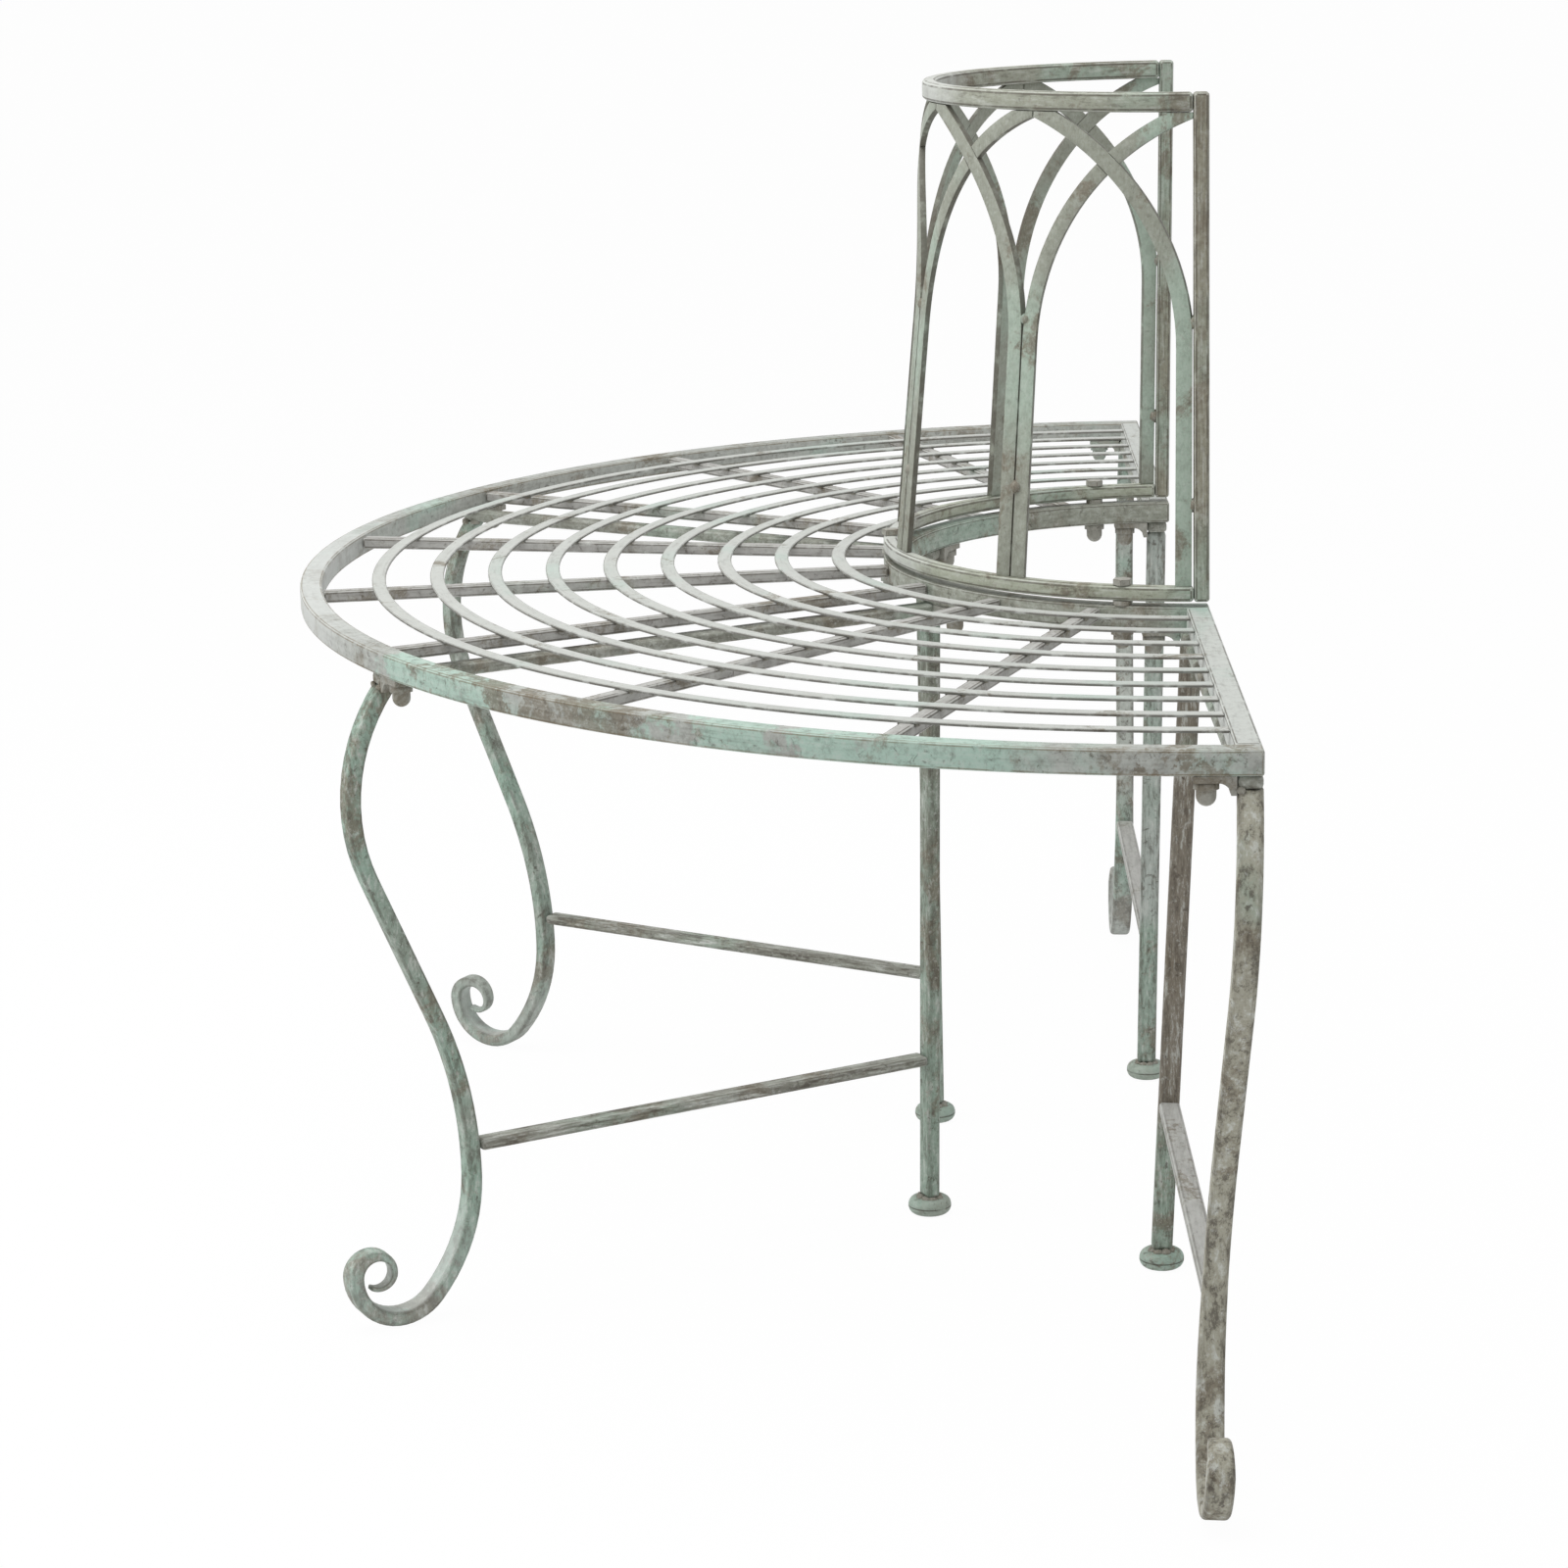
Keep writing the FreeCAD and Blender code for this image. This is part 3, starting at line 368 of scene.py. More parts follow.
# Seat rings
# Nine flat steel rings lie on the radial bars and are welded to them. Sitting has polished their
# tops to a smooth pale grey. Their walls and undersides are painted dark as shade, and the dark line
# along each edge is partly grime and partly painted shade.
RING_WIDTH = 0.0095
RING_ROUND = 0.0006
ring_paint = paint("ring_paint", (0.510, 0.525, 0.495, 1.0), "round", green=0.3, brown=0.25, fleck=0.25,
                   streak=0.35, mottle=0.12, bloom=(0.440, 0.520, 0.470, 1.0), edge_shade_and_grime_line=0.75)
rings = [name for name in sorted(nodes) if name.startswith("seat_ring")]
for name in rings:
    bm = half_ring(name, RING_WIDTH, RING_ROUND, HALF_TURN_STEPS)
    marks = bm.faces.layers.float["edge"]
    # The walls and the underside take the dark of the edge lines, as painted shade
    for face in bm.faces:
        if face.normal.z < 0.3:
            face[marks] = 0.5
    add_piece(bm, "painted_" + name, ring_paint, "ring_paint", name)

# Backrest hoops
# Two half hoops of square steel bar hold the back: the lower one stands on three spacers, and the
# upper one is deeper. Olive grey paint, chalky along the rounded edges, with a painted highlight on
# their crests and a thin line beside them that is partly grime and partly painted shade. A paler
# stretch at the front is painted highlight where the light falls on the turn.
HOOP_BAR = 0.010
HOOP_ROUND = 0.0024
HOOP_COATS = {
    "back_bottom_hoop": (0.380, 0.405, 0.318, 1.0),
    "back_top_hoop": (0.345, 0.358, 0.290, 1.0),
}
for name, coat in HOOP_COATS.items():
    hoop_paint = paint("hoop_paint_" + name, coat, "round", green=0.4, brown=0.5, fleck=0.5, streak=0.8,
                       bloom=MOSS, blooms=((165, 30),), highlight_stretches=((88, 36),))
    hoop = half_ring(name, HOOP_BAR, HOOP_ROUND, HALF_TURN_STEPS)
    add_piece(hoop, "painted_" + name, hoop_paint, "back_paint", name)

# Backrest posts
# A square steel post at each end of the hoops is welded between them and leans in with the cone of
# the back. Brown grey paint, with streaks down the bar.
POST_ROUND = 0.0020
post_paint = paint("post_paint", (0.285, 0.274, 0.210, 1.0), "up", green=0.2, brown=0.6, fleck=0.5,
                   streak=0.7, mottle=0.4, bloom=MOSS, blooms=((178, 20),))
for name in ("back_post_right", "back_post_left"):
    add_piece(softened(name, POST_ROUND), "painted_" + name, post_paint, "back_paint", name)

# Arch strips
# Ten flat steel strips, bent to the cone and welded to the hoops, cross each other in five pointed
# arches. Smooth grey green with long patches of turquoise. Their thin dark edges are painted shade on
# the narrow sides, with a line beside them that is partly grime and partly painted shade.
STRIP_ROUND = 0.0009
STRIP_STEPS = 2
strip_paint = paint("strip_paint", (0.305, 0.320, 0.265, 1.0), "none", green=0.42, brown=0.4, fleck=0.4,
                    streak=0.3, bloom=(0.392, 0.492, 0.408, 1.0), blooms=((4, 10), (176, 12)))
for name in sorted(nodes):
    if name.startswith("arch_"):
        bm = softened(name, STRIP_ROUND, STRIP_STEPS)
        marks = bm.faces.layers.float["edge"]
        # The narrow sides take the dark of the edge lines, as painted shade
        for face in bm.faces:
            away = (face.calc_center_median() - tree).to_2d().normalized()
            if abs(face.normal.to_2d().dot(away)) < 0.6:
                face[marks] = 0.5
        add_piece(bm, "painted_" + name, strip_paint, "back_paint", name)

# Top bars
# A flat steel bar lies under the seat on each leg frame, welded to the tops of both legs. Grey
# brown paint, blotched all over, with plain edges that carry only a faint chalky highlight and a
# faint line of grime and painted shade.
TOP_BAR_ROUND = 0.0026
bar_paint = paint("bar_paint", (0.290, 0.298, 0.255, 1.0), "out", green=0.4, brown=0.6, fleck=0.8,
                  streak=0.6, mottle=0.7, bloom=MOSS, edge_wear_and_painted_light=0.1, edge_shade_and_grime_line=0.1)
for name in sorted(nodes):
    if name.startswith("top_bar"):
        add_piece(softened(name, TOP_BAR_ROUND), "painted_" + name, bar_paint, "leg_paint", name)

# Outer legs
# Forged flat steel bar with well rounded edges, welded to the top bar: a bulge at the top, a long
# sweep in, and a curl at the foot that is drawn out thinner and narrower to its tip.
BAR_WIDTH = 0.0145
BAR_THICK = 0.010
EDGE_ROUND = 0.0028
EDGE_STEPS = 4
LEG_TOP = 0.4268
OVER_TOP = math.radians(4)
BULGE = 0.123
SLOPE = math.radians(23.3)
RUN = 0.105
SWEEP = 0.286
HEEL = 0.115
HEEL_TURN = math.radians(42)
CURL = 0.032
CURL_AT = 0.6065
CURL_LIFT = 0.0002
CURL_FRONT = (0.010, 0.01725)
CURL_TIP = (0.0085, 0.012)
TIP_TURN = math.radians(300)
CURL_WIDTH = 0.0165
TIP_WIDTH = 0.0065
FLARE = (0.050, 0.130)
POLISH_TOP = 0.090
POLISH_FADE = 0.050
# Angle from the right end, shift sideways and lean of each leg frame
FRAMES = {
    "right": (-0.6, -0.0107, 2.4),
    "front_right": (59.4, 0.0, 1.2),
    "front_left": (119.0, 0.0, 1.0),
    "left": (180.0, 0.0059, -0.85),
}


def leg_walls():
    # Pairs of points, front wall and back wall, from above the top of the leg to the tip of the
    # curl, each with how far along the drawn-out end it lies, from 0 to 1.
    half = BAR_THICK / 2
    inside = CURL - half
    outside = CURL + half
    past_curl = HEEL - CURL
    curl = Vector((CURL_AT, outside + CURL_LIFT))
    heel = curl + past_curl * Vector((math.cos(HEEL_TURN), math.sin(HEEL_TURN)))
    sweep = Vector((heel.x - HEEL + SWEEP, heel.y))
    down = Vector((math.sin(SLOPE), math.cos(SLOPE)))
    away = Vector((math.cos(SLOPE), -math.sin(SLOPE)))
    bulge = sweep - SWEEP * away + RUN * down - BULGE * away
    top = math.asin((LEG_TOP - bulge.y) / BULGE) + OVER_TOP
    front, back = CURL_FRONT
    tip_front, tip_back = CURL_TIP
    # Each bend has the centre and radius of its two walls, its first and last turn, and its steps
    bends = (
        (bulge, BULGE + half, bulge, BULGE - half, top, -SLOPE, 14),
        (sweep, SWEEP - half, sweep, SWEEP + half, math.pi - SLOPE, math.pi, 12),
        (heel, HEEL - half, heel, HEEL + half, math.pi, math.pi + HEEL_TURN, 10),
        (curl, inside, curl, outside, math.pi + HEEL_TURN, 2 * math.pi, 18),
        (curl + Vector((inside - front, 0)), front, curl + Vector((outside - back, 0)), back,
         0.0, math.pi, 18),
        (curl + Vector((inside - 2 * front + tip_front, 0)), tip_front,
         curl + Vector((outside - 2 * back + tip_back, 0)), tip_back, math.pi, TIP_TURN, 12),
    )
    walls = []
    for number, (near, near_radius, far, far_radius, start, finish, steps) in enumerate(bends):
        # A straight run joins the first two bends, and the others share their end points
        for k in range(1 if number > 1 else 0, steps + 1):
            turn = start + (finish - start) * k / steps
            ray = Vector((math.cos(turn), math.sin(turn)))
            drawn = turn / TIP_TURN if number > 3 else 0.0
            walls.append((near + near_radius * ray, far + far_radius * ray, drawn))
    return walls


def leg_width(high, drawn):
    # The bar widens into the curl, then narrows along it to the tip.
    low_flare, high_flare = FLARE
    flare = min(1.0, max(0.0, (high_flare - high) / (high_flare - low_flare)))
    wide = BAR_WIDTH + (CURL_WIDTH - BAR_WIDTH) * flare
    return wide + (TIP_WIDTH - CURL_WIDTH) * drawn if drawn > 0 else wide


def outer_leg(name):
    # The bar's rounded section, drawn ring by ring along the walls and cut flush at the top.
    bm = bmesh.new()
    marks = bm.faces.layers.float.new("edge")
    polish = bm.verts.layers.float.new("polish")
    spots = ((0.5, 0.5), (-0.5, 0.5), (-0.5, -0.5), (0.5, -0.5))
    section = bm.faces.new([bm.verts.new((BAR_THICK * a, BAR_WIDTH * b, 0)) for a, b in spots])
    bmesh.ops.bevel(
        bm, geom=list(section.verts), offset=EDGE_ROUND, offset_type="OFFSET", segments=EDGE_STEPS,
        profile=0.5, affect="VERTICES", clamp_overlap=True, material=-1,
    )
    bm.faces.ensure_lookup_table()
    loop = [corner.vert for corner in bm.faces[0].loops]
    shares = [(vert.co.x / BAR_THICK, vert.co.y / BAR_WIDTH) for vert in loop]
    bmesh.ops.delete(bm, geom=list(bm.faces), context="FACES_ONLY")
    walls = leg_walls()
    along = (walls[-1][0] + walls[-1][1]) / 2 - (walls[-2][0] + walls[-2][1]) / 2
    # Two more rings, a little past the last and smaller, close the tip in a blunt round
    rounding = [(0.0, 1.0)] * len(walls) + [(0.0008, 0.85), (0.0012, 0.5)]
    walls += [walls[-1]] * 2
    for number, ((front, back, drawn), (past, scale)) in enumerate(zip(walls, rounding)):
        if number:
            edges = [bm.edges.get((loop[k], loop[k - 1])) for k in range(len(loop))]
            grown = bmesh.ops.extrude_edge_only(bm, edges=edges)["geom"]
            fresh = {v for v in grown if isinstance(v, bmesh.types.BMVert)}
            loop = [next(e.other_vert(v) for e in v.link_edges if e.other_vert(v) in fresh) for v in loop]
        middle = (front + back) / 2 + along.normalized() * past
        across = (front - back) * scale
        wide = leg_width(middle.y, drawn) * scale
        for vert, (a, b) in zip(loop, shares):
            flat = middle + across * a
            vert.co = (flat.x, wide * b, flat.y)
            # The curl is rubbed pale, its inside most
            rubbed = min(1.0, max(0.0, (POLISH_TOP - flat.y) / POLISH_FADE))
            vert[polish] = rubbed * (1.0 if a > 0.45 else 0.4)
    bmesh.ops.bisect_plane(
        bm, geom=list(bm.verts) + list(bm.edges) + list(bm.faces), dist=1e-6, plane_co=(0, 0, LEG_TOP),
        plane_no=(0, 0, 1), clear_outer=True,
    )
    bmesh.ops.holes_fill(bm, edges=[e for e in bm.edges if e.is_boundary], sides=0)
    bmesh.ops.recalc_face_normals(bm, faces=bm.faces)
    # The bar's rounded edges are known by how far they face sideways
    for face in bm.faces:
        face.smooth = len(face.verts) == 4
        sideways = abs(face.normal.y)
        if 0.45 < sideways < 0.9:
            face[marks] = 1.0
        elif 0.1 < sideways < 0.98:
            face[marks] = 0.5
    angle, shift, lean = FRAMES[name]
    stand = Matrix.Translation(tree) @ Matrix.Rotation(-math.radians(angle), 4, "Z")
    stand = stand @ Matrix.Translation((0, shift, LEG_TOP)) @ Matrix.Rotation(-math.radians(lean), 4, "X")
    bmesh.ops.transform(bm, matrix=stand @ Matrix.Translation((0, 0, -LEG_TOP)), verts=bm.verts)
    return bm


# Each leg's coat, and how green, how blotched and how polished it is
LEG_COATS = {
    "right": ((0.385, 0.374, 0.302, 1.0), 0.15, 1.3, 0.0),
    "front_right": ((0.278, 0.310, 0.262, 1.0), 0.95, 1.0, 0.5),
    "front_left": ((0.315, 0.355, 0.308, 1.0), 0.8, 1.0, 0.5),
    "left": ((0.420, 0.450, 0.410, 1.0), 0.5, 1.0, 0.5),
}
# Along the rounded edges the crests are painted dark, partly as grime and partly as shade.
for name, (coat, green, mottle, polished) in LEG_COATS.items():
    leg_paint = paint("leg_paint_" + name, coat, "up", green=green, brown=0.6, fleck=1.0, streak=0.0,
                      mottle=mottle, run=3.0, bloom=(0.300, 0.430, 0.350, 1.0), polished=polished,
                      edge_wear_and_painted_light=-0.45, edge_shade_and_grime_line=0.2)
    add_piece(outer_leg(name), "forged_leg_" + name, leg_paint, "leg_paint", "outer_leg_" + name)

# Inner legs and stretchers
# Straight bars of the same stock: the inner leg stands on a round foot, and the stretcher is welded
# between it and the outer leg. The end stretchers are the paler ones.
INNER_LEG_ROUND = 0.0030
STRETCHER_ROUND = 0.0024
DAMP_HEIGHT = 0.115
# Each inner leg's coat, and how green it is
INNER_COATS = {
    "right": ((0.215, 0.188, 0.148, 1.0), 0.1),
    "front_right": ((0.235, 0.255, 0.205, 1.0), 0.7),
    "front_left": ((0.235, 0.250, 0.200, 1.0), 0.7),
    "left": ((0.410, 0.455, 0.418, 1.0), 0.7),
}
# Edge crests of inner legs and front stretchers are painted dark, partly grime and partly shade.
front_stretcher = paint("front_stretcher", (0.305, 0.312, 0.268, 1.0), "out", green=0.65, brown=0.5,
                        fleck=0.9, streak=0.8, mottle=1.4, run=6.0, bloom=MOSS, edge_wear_and_painted_light=-0.3,
                        edge_shade_and_grime_line=0.4)
end_stretcher = paint("end_stretcher", (0.440, 0.440, 0.415, 1.0), "out", green=0.1, brown=0.4,
                      fleck=0.6, streak=0.4, mottle=0.4, run=5.0, bloom=MOSS, edge_shade_and_grime_line=0.4)
for name, (coat, green) in INNER_COATS.items():
    inner_paint = paint("inner_paint_" + name, coat, "up", green=green, brown=0.55, fleck=1.0,
                        streak=0.25, mottle=1.0, run=2.5, bloom=(0.290, 0.385, 0.315, 1.0),
                        damp=DAMP_HEIGHT, edge_wear_and_painted_light=-0.35, edge_shade_and_grime_line=0.2)
    add_piece(softened("inner_leg_" + name, INNER_LEG_ROUND), "painted_inner_leg_" + name, inner_paint,
              "leg_paint", "inner_leg_" + name)
    add_piece(softened("stretcher_" + name, STRETCHER_ROUND), "painted_stretcher_" + name,
              front_stretcher if "front" in name else end_stretcher, "leg_paint", "stretcher_" + name)

# Feet
# A turned steel pad with a full rounded edge is welded under each inner leg. A faint groove runs
# round its middle, and its paint has gone green.
FOOT_ROUND = 0.0042
FOOT_GROOVE = 0.0005
GROOVE_HALF = 0.0006
FOOT_STEPS = 36
FOOT_TURNS = (-90, -70, -50, -30, -15, -5, 0, 5, 15, 30, 50, 70, 90)
foot_paint = paint("foot_paint", (0.340, 0.390, 0.330, 1.0), "round", green=0.8, brown=0.5, fleck=0.9,
                   streak=0.3)
for name in FRAMES:
    low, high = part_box("foot_" + name)
    middle = (low + high) / 2
    radius = (high.x - low.x) / 2
    half = (high.z - low.z) / 2
    bm = bmesh.new()
    marks = bm.faces.layers.float.new("edge")
    line = [bm.verts.new((middle.x, middle.y, low.z))]
    for turn in FOOT_TURNS:
        out = radius - FOOT_ROUND + FOOT_ROUND * math.cos(math.radians(turn))
        up = half * math.sin(math.radians(turn))
        pinch = 0.0 if turn else FOOT_GROOVE
        line.append(bm.verts.new((middle.x + out - pinch, middle.y, middle.z + up)))
    line.append(bm.verts.new((middle.x, middle.y, high.z)))
    profile = [bm.edges.new(pair) for pair in zip(line, line[1:])]
    bmesh.ops.spin(bm, geom=line + profile, cent=middle, axis=(0, 0, 1), angle=2 * math.pi,
                   steps=FOOT_STEPS, use_merge=True)
    bmesh.ops.remove_doubles(bm, verts=bm.verts, dist=TOUCHING)
    bmesh.ops.recalc_face_normals(bm, faces=bm.faces)
    # The groove takes the thin edge line, a dark ring that is partly grime and partly painted shade.
    for face in bm.faces:
        face.smooth = abs(face.normal.z) < 0.99
        grooved = abs(face.calc_center_median().z - middle.z) < GROOVE_HALF
        face[marks] = 0.5 if grooved else 0.0
    add_piece(bm, "turned_foot_" + name, foot_paint, "leg_paint", "foot_" + name)

# Ears, bolts and cap nuts
# A bent steel plate beside each top bar takes a bolt up into the rim, closed below by a domed cap
# nut. Three more bolts hold the lower hoop down on spacers.
EAR_ROUND = 0.0006
BOLT_ROUND = 0.0008
FIXING_STEPS = 2
fixing_paint = paint("fixing_paint", (0.330, 0.325, 0.285, 1.0), "none", green=0.3, brown=0.6, fleck=0.8,
                     streak=0.2)
add_piece(softened("leg_ears", EAR_ROUND, FIXING_STEPS), "painted_ears", fixing_paint, "fixing_paint",
          "leg_ears")
add_piece(softened("back_bolts", BOLT_ROUND, FIXING_STEPS), "painted_back_bolts", fixing_paint,
          "fixing_paint", "back_bolts")


def boxes_of(node):
    # The lowest and highest corner of each separate solid in a packed group.
    bm = bmesh.new()
    bm.from_mesh(nodes[node].data)
    bmesh.ops.remove_doubles(bm, verts=bm.verts, dist=TOUCHING)
    left = set(bm.verts)
    found = []
    while left:
        reached = [left.pop()]
        for vert in reached:
            for edge in vert.link_edges:
                other = edge.other_vert(vert)
                if other in left:
                    left.remove(other)
                    reached.append(other)
        spots = [vert.co.copy() for vert in reached]
        low = Vector([min(s[k] for s in spots) for k in range(3)])
        high = Vector([max(s[k] for s in spots) for k in range(3)])
        found.append((low, high))
    bm.free()
    return found


NUT_FLATS = 0.0125
NUT_CORNER = NUT_FLATS / math.sqrt(3)
NUT_COLLAR = 0.0045
DOME_RADIUS = 0.0057
DOME_STEPS = 6
NUT_STEPS = 24
bm = bmesh.new()
bm.faces.layers.float.new("edge")
for low, high in boxes_of("cap_nuts"):
    middle = (low + high) / 2
    bmesh.ops.create_cone(
        bm, cap_ends=True, segments=6, radius1=NUT_CORNER, radius2=NUT_CORNER, depth=NUT_COLLAR,
        matrix=Matrix.Translation((middle.x, middle.y, high.z - NUT_COLLAR / 2)),
    )
    line = [bm.verts.new((middle.x + DOME_RADIUS, middle.y, high.z - NUT_COLLAR))]
    for k in range(DOME_STEPS + 1):
        turn = math.radians(90 * k / DOME_STEPS)
        line.append(bm.verts.new((middle.x + DOME_RADIUS * math.cos(turn), middle.y,
                                  low.z + DOME_RADIUS * (1 - math.sin(turn)))))
    profile = [bm.edges.new(pair) for pair in zip(line, line[1:])]
    bmesh.ops.spin(bm, geom=line + profile, cent=middle, axis=(0, 0, 1), angle=2 * math.pi,
                   steps=NUT_STEPS, use_merge=True)
bmesh.ops.remove_doubles(bm, verts=bm.verts, dist=TOUCHING)
bmesh.ops.recalc_face_normals(bm, faces=bm.faces)
for face in bm.faces:
    face.smooth = len(face.verts) < 6
add_piece(bm, "domed_nuts", fixing_paint, "fixing_paint", "cap_nuts")
for name in ("leg_bolts", "back_spacers"):
    for slot in nodes[name].material_slots:
        slot.material = fixing_paint

# Weld beads
# Small lumps of weld metal under the paint: where the arch strips run together, on both sides of
# the radial bars under each ring, at the top of each outer leg and round each foot.
POST_ANGLE = 2.2
PANELS = 5
PANEL_ANGLE = (180 - 2 * POST_ANGLE) / PANELS
STRIP_OUT = 0.203
HOOP_TOP = 0.463
CONE_SLOPE = 0.0932
STRIP_WELDS = (0.635, 0.520)
STRIP_BEAD = (0.0038, 0.0042, 0.0050)
ANGLE_SCATTER = 0.4
HEIGHT_SCATTER = 0.006
LUMPINESS = 0.35
LUMPS_PER_METRE = 400
weld_paint = paint("weld_paint", (0.270, 0.260, 0.220, 1.0), "none", green=0.3, brown=0.7, fleck=0.9,
                   streak=0.2)
random.seed(7)
noise.seed_set(7)


def about_tree(out, angle, high):
    turn = math.radians(angle)
    return tree + Vector((out * math.cos(turn), -out * math.sin(turn), high))


def bead(bm, spot, size, angle):
    # One lump: a ball pulled out of round, turned to face away from the tree.
    place = Matrix.Translation(spot) @ Matrix.Rotation(-math.radians(angle), 4, "Z")
    shape = Matrix.Diagonal((*[s * random.uniform(0.8, 1.2) for s in size], 1.0))
    verts = bmesh.ops.create_icosphere(bm, subdivisions=2, radius=1.0, matrix=place @ shape)["verts"]
    for vert in verts:
        vert.co += noise.noise_vector(vert.co * LUMPS_PER_METRE) * min(size) * LUMPINESS


def add_welds(bm, name, slot):
    for face in bm.faces:
        face.smooth = True
    add_piece(bm, name, weld_paint, slot)


bm = bmesh.new()
bm.faces.layers.float.new("edge")
for k in range(PANELS + 1):
    angle = POST_ANGLE + PANEL_ANGLE * k
    for high in STRIP_WELDS:
        out = STRIP_OUT - CONE_SLOPE * (high - HOOP_TOP)
        turn = angle + random.uniform(-ANGLE_SCATTER, ANGLE_SCATTER)
        spot = about_tree(out, turn, high + random.uniform(-HEIGHT_SCATTER, HEIGHT_SCATTER))
        bead(bm, spot, STRIP_BEAD, angle)
add_welds(bm, "back_welds", "back_paint")

RADIAL_BARS = 8
RADIAL_ANGLE = 20
RADIAL_SIDE = 0.0052
RING_BEAD = (0.0036, 0.0014, 0.0014)
RING_BEAD_DROP = 0.0008
REACH_SCATTER = 0.001
bm = bmesh.new()
bm.faces.layers.float.new("edge")
for name in rings:
    low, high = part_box(name)
    out = tree.y - low.y - RING_WIDTH / 2
    for k in range(1, RADIAL_BARS + 1):
        for side in (-1, 1):
            turn = RADIAL_ANGLE * k + math.degrees(side * RADIAL_SIDE / out)
            about = out + random.uniform(-REACH_SCATTER, REACH_SCATTER)
            spot = about_tree(about, turn, low.z - RING_BEAD_DROP)
            bead(bm, spot, RING_BEAD, turn)
add_welds(bm, "ring_welds", "seat_paint")

FOOT_LUMPS = 8
FIRST_LUMP = 20
FOOT_WELD_OUT = 0.0066
FOOT_BEAD = (0.0032, 0.0032, 0.0020)
TOP_BEAD = (0.0016, 0.0022, 0.0020)
TOP_BAND = 0.0015
CUT_FACE_KEPT = 0.003
bm = bmesh.new()
bm.faces.layers.float.new("edge")
for name in FRAMES:
    angle = FRAMES[name][0]
    low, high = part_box("foot_" + name)
    middle = (low + high) / 2
    for lump in range(FOOT_LUMPS):
        turn = math.radians(360 / FOOT_LUMPS * lump + FIRST_LUMP)
        aside = FOOT_WELD_OUT * Vector((math.cos(turn), math.sin(turn)))
        bead(bm, Vector((middle.x + aside.x, middle.y + aside.y, high.z)), FOOT_BEAD, angle)
    leg = bpy.data.objects["forged_leg_" + name].data
    # Sorted, because the order of an extruded mesh's points can change from run to run
    spots = sorted([round(c, 6) for c in vert.co] for vert in leg.vertices)
    top = max(spot[2] for spot in spots)
    for spot in spots:
        if spot[2] > top - TOP_BAND and spot[1] < cad_box[1].y - CUT_FACE_KEPT:
            bead(bm, spot, TOP_BEAD, angle)
add_welds(bm, "leg_welds", "leg_paint")

# Studio
# A plain white floor under a white sky, with soft light from above and from in front of the bench.
# Both are white only to the camera and in reflections, and the floor keeps the bench's shadow.
FLOOR_SIZE = 30.0
FLOOR_DROP = 0.0005
floor_mesh = bpy.data.meshes.new("floor")
bm = bmesh.new()
bmesh.ops.create_grid(bm, x_segments=1, y_segments=1, size=FLOOR_SIZE)
bm.to_mesh(floor_mesh)
bm.free()
floor = bpy.data.objects.new("floor", floor_mesh)
floor.location.z = -FLOOR_DROP
scene.collection.objects.link(floor)


def seen(nt):
    # 1 for what the camera sees, straight or in a reflection, and 0 for the light on the bench.
    path = nt.nodes.new("ShaderNodeLightPath")
    total = path.outputs["Is Camera Ray"]
    for other in ("Is Glossy Ray", "Is Transmission Ray"):
        larger = nt.nodes.new("ShaderNodeMath")
        larger.operation = "MAXIMUM"
        nt.links.new(total, larger.inputs[0])
        nt.links.new(path.outputs[other], larger.inputs[1])
        total = larger.outputs[0]
    return total


FLOOR_WHITE = 0.97
FLOOR_COLOUR = (0.9, 0.9, 0.9, 1.0)
white = bpy.data.materials.new("floor_white")
white.use_nodes = True
nt = white.node_tree
nt.nodes.clear()
out = nt.nodes.new("ShaderNodeOutputMaterial")
matt = nt.nodes.new("ShaderNodeBsdfDiffuse")
glow = nt.nodes.new("ShaderNodeEmission")
blend = nt.nodes.new("ShaderNodeMixShader")
share = nt.nodes.new("ShaderNodeMath")
share.operation = "MULTIPLY"
share.inputs[1].default_value = FLOOR_WHITE
matt.inputs["Color"].default_value = FLOOR_COLOUR
nt.links.new(seen(nt), share.inputs[0])
nt.links.new(share.outputs[0], blend.inputs["Fac"])
nt.links.new(matt.outputs["BSDF"], blend.inputs[1])
nt.links.new(glow.outputs["Emission"], blend.inputs[2])
nt.links.new(blend.outputs["Shader"], out.inputs["Surface"])
floor_mesh.materials.append(white)

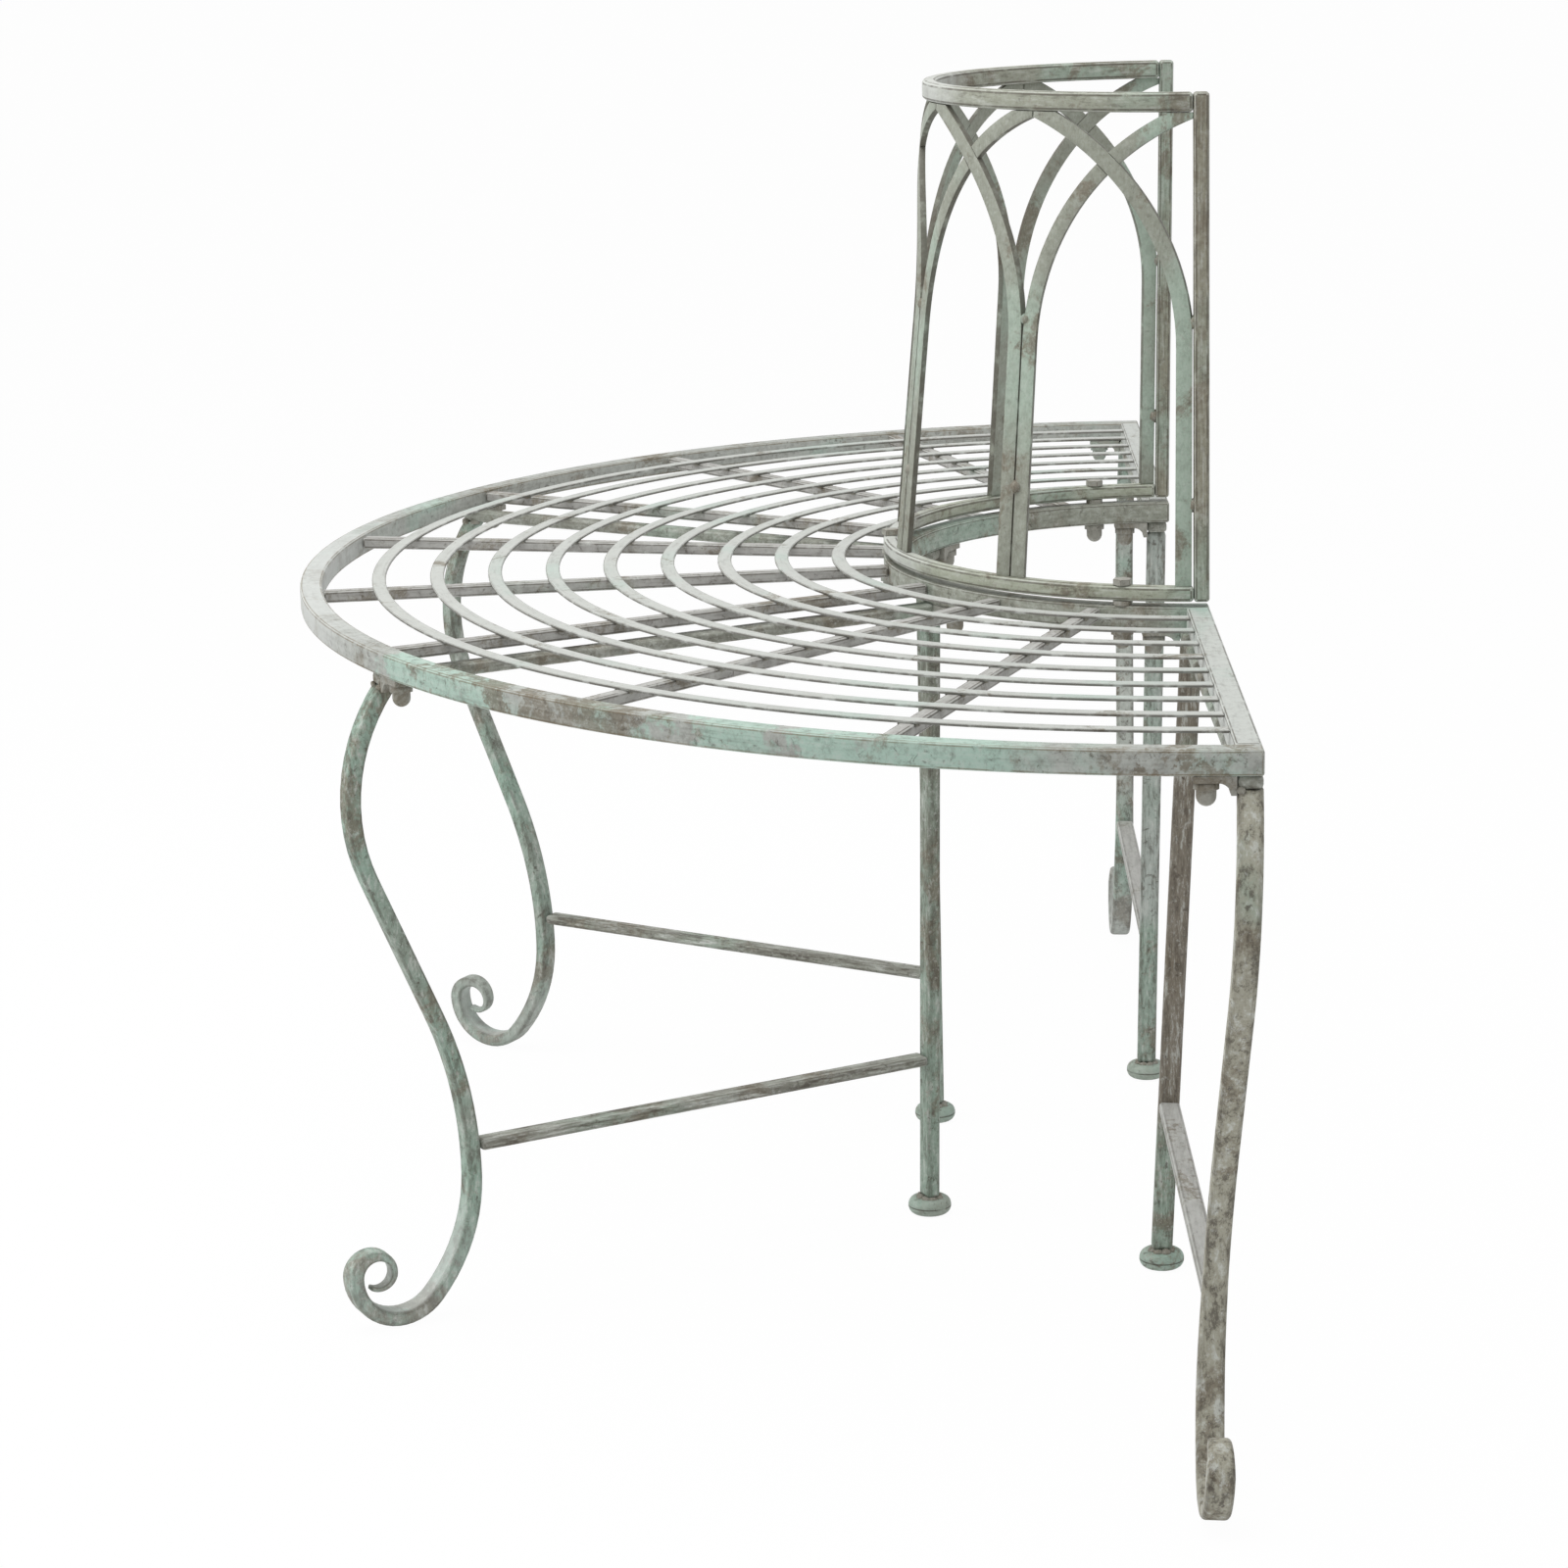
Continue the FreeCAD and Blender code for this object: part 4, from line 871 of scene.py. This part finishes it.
ROOM_LIGHT = 0.54
world = bpy.data.worlds.new("studio")
scene.world = world
world.use_nodes = True
nt = world.node_tree
nt.nodes.clear()
out = nt.nodes.new("ShaderNodeOutputWorld")
back = nt.nodes.new("ShaderNodeBackground")
room = nt.nodes.new("ShaderNodeMapRange")
room.inputs["To Min"].default_value = ROOM_LIGHT
room.inputs["To Max"].default_value = 1.0
back.inputs["Color"].default_value = (1.0, 1.0, 1.0, 1.0)
nt.links.new(seen(nt), room.inputs["Value"])
nt.links.new(room.outputs["Result"], back.inputs["Strength"])
nt.links.new(back.outputs["Background"], out.inputs["Surface"])


def lamp(name, spot, aim, size, power):
    light = bpy.data.lights.new(name, "AREA")
    light.size = size
    light.energy = power
    obj = bpy.data.objects.new(name, light)
    obj.location = spot
    obj.rotation_euler = (Vector(aim) - Vector(spot)).to_track_quat("-Z", "Y").to_euler()
    scene.collection.objects.link(obj)


lamp("overhead", spot=(0.4, -0.4, 2.8), aim=(0.0, 0.0, 0.3), size=2.0, power=45.0)
lamp("front", spot=(0.2, -3.0, 1.3), aim=(0.0, 0.0, 0.4), size=1.6, power=24.0)

# Camera
# Beyond the right end of the bench and a little above its back, looking along the cut side and
# down. The lens is in millimetres for a picture 36 mm wide.
YAW = 0.03558
PITCH = 0.23903
ROLL = -0.01948
EYE = (2.68463, 0.11843, 0.93985)
LENS = 89.739
ahead = Vector((-math.cos(YAW) * math.cos(PITCH), -math.sin(YAW) * math.cos(PITCH), -math.sin(PITCH)))
right = ahead.cross(Vector((0, 0, 1))).normalized()
up = right.cross(ahead)
side = math.cos(ROLL) * right + math.sin(ROLL) * up
top = -math.sin(ROLL) * right + math.cos(ROLL) * up
camera = bpy.data.objects.new("camera", bpy.data.cameras.new("camera"))
camera.data.sensor_width = 36.0
camera.data.lens = LENS
camera.data.clip_end = 100.0
camera.matrix_world = Matrix.Translation(EYE) @ Matrix((side, top, -ahead)).transposed().to_4x4()
scene.collection.objects.link(camera)
scene.camera = camera
scene.view_settings.view_transform = "Standard"
